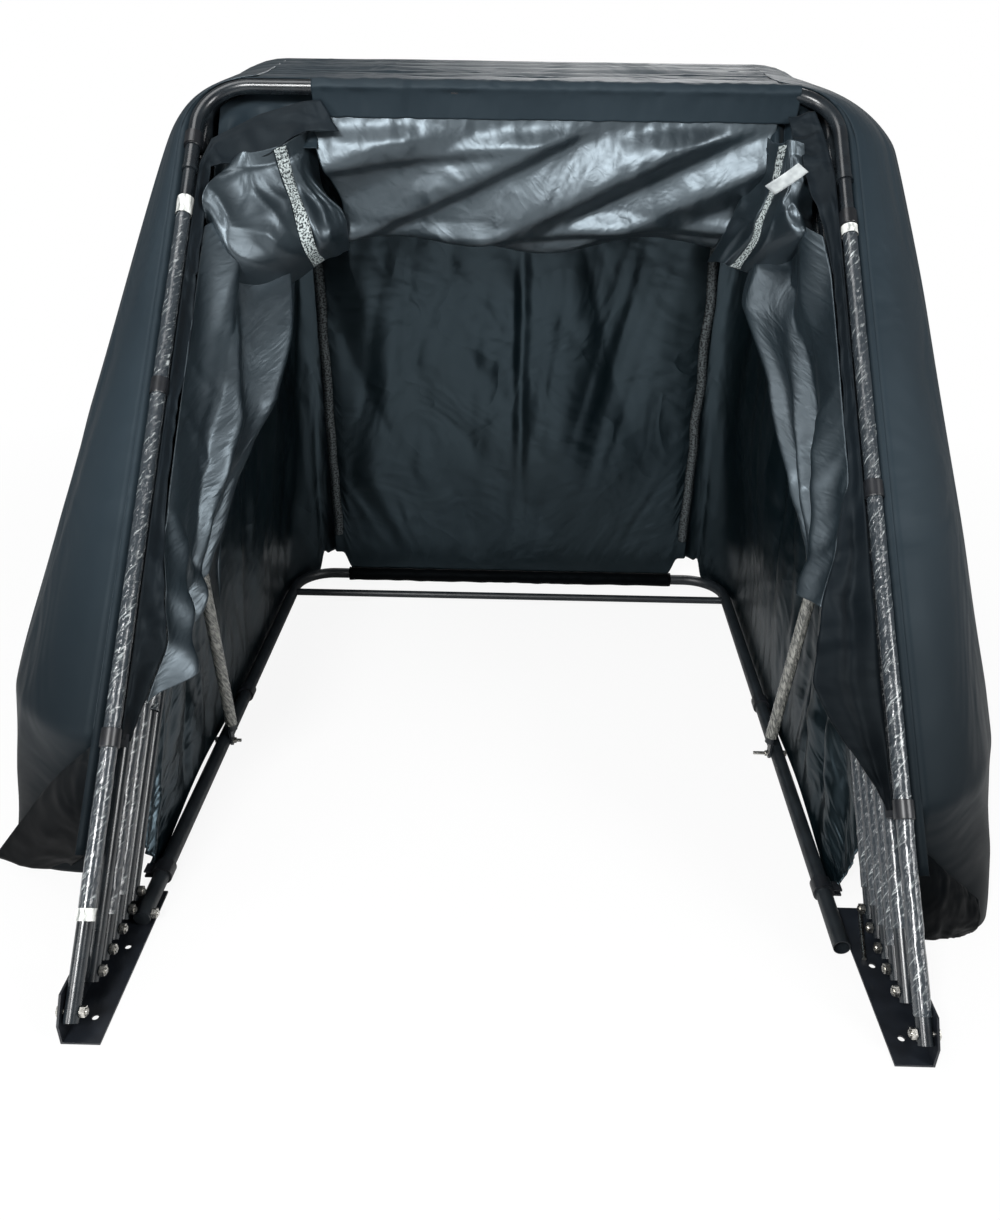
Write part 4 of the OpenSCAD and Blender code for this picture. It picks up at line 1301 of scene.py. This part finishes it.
GORE_DEPTH = (0.047, 0.0264, 0.0264, 0.0264, 0.0264)
GORE_RISE = (0.054, 0.034, 0.042, 0.042, 0.042)
GORE_LOW = 0.19
KEEP_TURN = (0.713, 0.674, 0.610, 0.500, 0.0)


def gore_rule(k):
    depth, rise = GORE_DEPTH[k - 1], GORE_RISE[k - 1]

    def place(u, v):
        flare = 0.014 * max(0.0, 1 - v / 0.25) ** 2 if k == 1 else 0.0
        pleat = 0.004 * arch(v)
        crease = 0.003 * grain(u * 34, v * 1.5, k * 5) * arch(v)
        crease += 0.007 * max(0.0, grain(u * 13, v * 0.8, k * 3)) * arch(v)
        x, s = round_hoop(k, u, GORE_LOW, 0.0115 + flare + pleat * 0.5,
                          0.0172 + pleat + crease + (0.0 if k > 1 else 0.001))
        over = smooth((s - reach(k) + BEND) / BEND)
        return on_hoop(k, x, s + rise * v * over, -depth * v)
    return place


def make_gore(k):
    cols, rows = 220, 10
    thing = sheet_mesh(f"gore_{k}", gore_rule(k), cols, rows, (3.4, 0.08))
    flat, area = measured(thing, cols, rows)
    finish_cloth(thing, OUTSIDE, OUTSIDE, 0.001, 0)
    out = on_hoop(k, 0, 1, 1) - on_hoop(k, 0, 1)
    far = GORE_DEPTH[k - 1] / (1 - KEEP_TURN[k - 1])
    end = on_hoop(k, 0, 0.5)
    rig.blend(thing, "base", f"hoop_{k}", start=tuple(end - out * far), end=tuple(end))
    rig.slot(thing, "cover_outside")
    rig.sheet(thing, flat=flat, area=area, held="stretched",
             rests_on=[f"hoop_{k}_top", f"hoop_{k + 1}_top"])


for k in range(1, 6):
    make_gore(k)
print("gores made")

# %% [markdown]
# ## Packing film, tape and strut wraps
# The film and the padding on the struts are thin skins round a straight tube. Each is a
# Geometry Nodes tree: a line becomes a tube, and noise that runs slanting round it pushes the
# skin in and out. The tree has named inputs for the radius, the creases and the seed.

# %% A skin round a straight tube
def skin_tree(name):
    """Curve line -> tube -> creased skin, with named inputs."""
    tree = bpy.data.node_groups.new(name, "GeometryNodeTree")
    face, link, add = tree.interface, tree.links.new, wire(tree)
    face.new_socket("Geometry", in_out="INPUT", socket_type="NodeSocketGeometry")
    for title, kind, value in (("From", "Vector", None), ("To", "Vector", None),
                               ("Radius", "Float", 0.011), ("Crease", "Float", 0.001),
                               ("Grain", "Float", 60.0), ("Seed", "Float", 0.0),
                               ("Rings", "Int", 200), ("Skin", "Material", None)):
        socket = face.new_socket(title, in_out="INPUT", socket_type="NodeSocket" + kind)
        if value is not None:
            socket.default_value = value
    face.new_socket("Geometry", in_out="OUTPUT", socket_type="NodeSocketGeometry")
    given = add("NodeGroupInput").outputs

    def capture(curve, title):
        """Keeps how far along its curve each point is."""
        node = add("GeometryNodeCaptureAttribute")
        node.capture_items.new("FLOAT", title)
        link(curve, node.inputs["Geometry"])
        link(add("GeometryNodeSplineParameter").outputs["Length"], node.inputs[1])
        return node.outputs

    line = add("GeometryNodeCurvePrimitiveLine", {"Start": given["From"], "End": given["To"]})
    dense = add("GeometryNodeResampleCurve", {"Curve": line.outputs["Curve"], "Count": given["Rings"]})
    ring = add("GeometryNodeCurvePrimitiveCircle", {"Resolution": 22, "Radius": given["Radius"]})
    along_it = capture(dense.outputs["Curve"], "along")
    around = capture(ring.outputs["Curve"], "around")
    tube = add("GeometryNodeCurveToMesh", {"Curve": along_it["Geometry"],
                                           "Profile Curve": around["Geometry"]})
    chart = add("ShaderNodeCombineXYZ", {"X": around[1], "Y": along_it[1]})
    keep = add("GeometryNodeStoreNamedAttribute", {"Name": "cloth", "Geometry": tube.outputs["Mesh"],
               "Value": chart.outputs["Vector"]}, data_type="FLOAT2", domain="CORNER")
    place = add("GeometryNodeInputPosition").outputs["Position"]
    squeeze = add("ShaderNodeVectorMath", {0: place, 1: (1.0, 0.45, 0.8)}, operation="MULTIPLY")
    grain = add("ShaderNodeTexNoise", {"Vector": squeeze.outputs["Vector"], "Scale": given["Grain"]},
                noise_dimensions="4D")
    link(given["Seed"], grain.inputs["W"])
    centred = add("ShaderNodeMath", {0: grain.outputs["Fac"], 1: 0.45}, operation="SUBTRACT")
    height = add("ShaderNodeMath", {0: centred.outputs[0], 1: given["Crease"]}, operation="MULTIPLY")
    normal = add("GeometryNodeInputNormal").outputs["Normal"]
    push = add("ShaderNodeVectorMath", {0: normal, "Scale": height.outputs[0]}, operation="SCALE")
    shift = add("GeometryNodeSetPosition", {"Geometry": keep.outputs["Geometry"],
                                            "Offset": push.outputs["Vector"]})
    soft = add("GeometryNodeSetShadeSmooth", {"Geometry": shift.outputs["Geometry"]})
    solid = add("GeometryNodeRealizeInstances", {"Geometry": soft.outputs["Geometry"]})
    paint = add("GeometryNodeSetMaterial", {"Geometry": solid.outputs["Geometry"],
                                            "Material": given["Skin"]})
    link(paint.outputs["Geometry"], add("NodeGroupOutput").inputs["Geometry"])
    return tree


def run_nodes(name, tree, **values):
    """Runs a tree on an empty mesh, and gives its result as a plain mesh object."""
    thing = in_scene(name, bpy.data.meshes.new(name))
    change = thing.modifiers.new("nodes", "NODES")
    change.node_group = tree
    for item in tree.interface.items_tree:
        if item.item_type == "SOCKET" and item.in_out == "INPUT" and item.name in values:
            change[item.identifier] = values[item.name]
    return bake(thing)


SKIN = skin_tree("creased_skin")


def wrap(name, a, b, body, radius, crease, grain, seed, skin, rings=None):
    length = (Vector(b) - Vector(a)).length
    thing = run_nodes(name, SKIN, From=tuple(a), To=tuple(b), Radius=radius, Crease=crease,
                      Grain=grain, Seed=seed, Rings=rings or max(6, round(length / 0.004)), Skin=skin)
    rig.ride(thing, body)
    return thing


# %% Film on the legs
FILM_RUNS = {LEFT: {1: (0.115, 1.207), 3: (0.045, 0.62), 4: (0.045, 0.62), 5: (0.30, 0.62),
                    6: (0.42, 0.62)},
             RIGHT: {1: (0.02, 1.190), 2: (0.078, 0.7), 3: (0.03, 0.7), 4: (0.03, 0.7),
                     5: (0.03, 0.7), 6: (0.03, 0.58)}}


def film_pieces():
    for side, runs in FILM_RUNS.items():
        for i, (low, high) in runs.items():
            body = f"hoop_{i}" if i < 6 else "base"
            wrap(f"film_{i}_{WORD[side]}", on_hoop(i, side * HALF, low), on_hoop(i, side * HALF, high),
                 body, LEG_R + 0.0011, crease=0.0022, grain=75.0, seed=3.1 * i + side, skin=FILM_PAINTED_HIGHLIGHTS)
    wrap("film_bunch", on_hoop(5, -HALF, 0.285), on_hoop(5, -HALF, 0.31), "hoop_5",
         LEG_R + 0.004, crease=0.006, grain=130.0, seed=4.0, skin=FILM_PAINTED_HIGHLIGHTS, rings=16)


def tape_pieces():
    for name, side, low, high in (("tape_top_left", LEFT, 1.190, 1.222),
                                  ("tape_top_right", RIGHT, 1.172, 1.188),
                                  ("tape_low_left", LEFT, 0.108, 0.124)):
        wrap(name, on_hoop(1, side * HALF, low), on_hoop(1, side * HALF, high), "hoop_1",
             LEG_R + 0.0026, crease=0.0026, grain=160.0, seed=low, skin=TAPE, rings=14)


def clip_collars():
    """The ridged collars of the front hoop's clips, each a band round the leg."""
    profile = [(0.0, 0.0004), (0.0, 0.0030)]
    profile += [(0.002 + 0.0011 * k, 0.0032 + 0.0005 * math.cos(math.pi * k)) for k in range(21)]
    profile += [(0.0262, 0.0030), (0.0262, 0.0004)]
    points, faces, around = [], [], 32
    out = on_hoop(1, 0, 1, 1) - on_hoop(1, 0, 1)
    for side, places in CLIPS.items():
        for s in places:
            first = len(points)
            for along_leg, high in profile:
                middle = on_hoop(1, side * HALF, s - 0.0131 + along_leg)
                for j in range(around):
                    turn = 2 * math.pi * j / around
                    spoke = Vector((math.cos(turn), 0, 0)) + out * math.sin(turn)
                    points.append(middle + spoke * (LEG_R + high))
            rows = len(profile)
            for i in range(rows):
                for j in range(around):
                    a, b = first + i * around, first + (i + 1) % rows * around
                    faces.append((a + j, a + (j + 1) % around, b + (j + 1) % around, b + j))
    mesh = bpy.data.meshes.new("clip_collars")
    mesh.from_pydata(points, [], faces)
    thing = in_scene("clip_collars", mesh)
    mesh.materials.append(PLASTIC)
    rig.ride(thing, "hoop_1")
    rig.slot(thing, "clip_plastic")


film_pieces()
tape_pieces()
clip_collars()

# %% Padding on the struts
STRUT_Y, STRUT_HIGH, STRUT_GAP = 0.545, 0.585, 0.0022

for side, word in WORD.items():
    rx, rz = rail_place(side, STRUT_Y)
    foot = Vector((side * (rx - RAIL_R - STRUT_GAP), STRUT_Y, rz))
    head = on_hoop(6, side * (HALF - LEG_R - STRUT_GAP), STRUT_HIGH)
    inset = Vector((side * 0.004, 0, 0))
    a, b = foot.lerp(head, 0.055) - inset, foot.lerp(head, 0.955) - inset
    wrap(f"strut_wrap_{word}", a.lerp(b, 0.03), a.lerp(b, 0.99), "base", radius=0.0103,
         crease=0.0026, grain=260.0, seed=side, skin=FUZZ)
print("film and wraps made")

# %% [markdown]
# ## Finish
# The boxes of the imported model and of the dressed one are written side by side, to compare
# the two sizes.

# %% Write the sizes and finish
with open("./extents.json", "w") as out:
    json.dump({"cad": cad_box, "visual": [list(c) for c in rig.bounds()]}, out, indent=1)
print("sizes", cad_box, [list(c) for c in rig.bounds()])
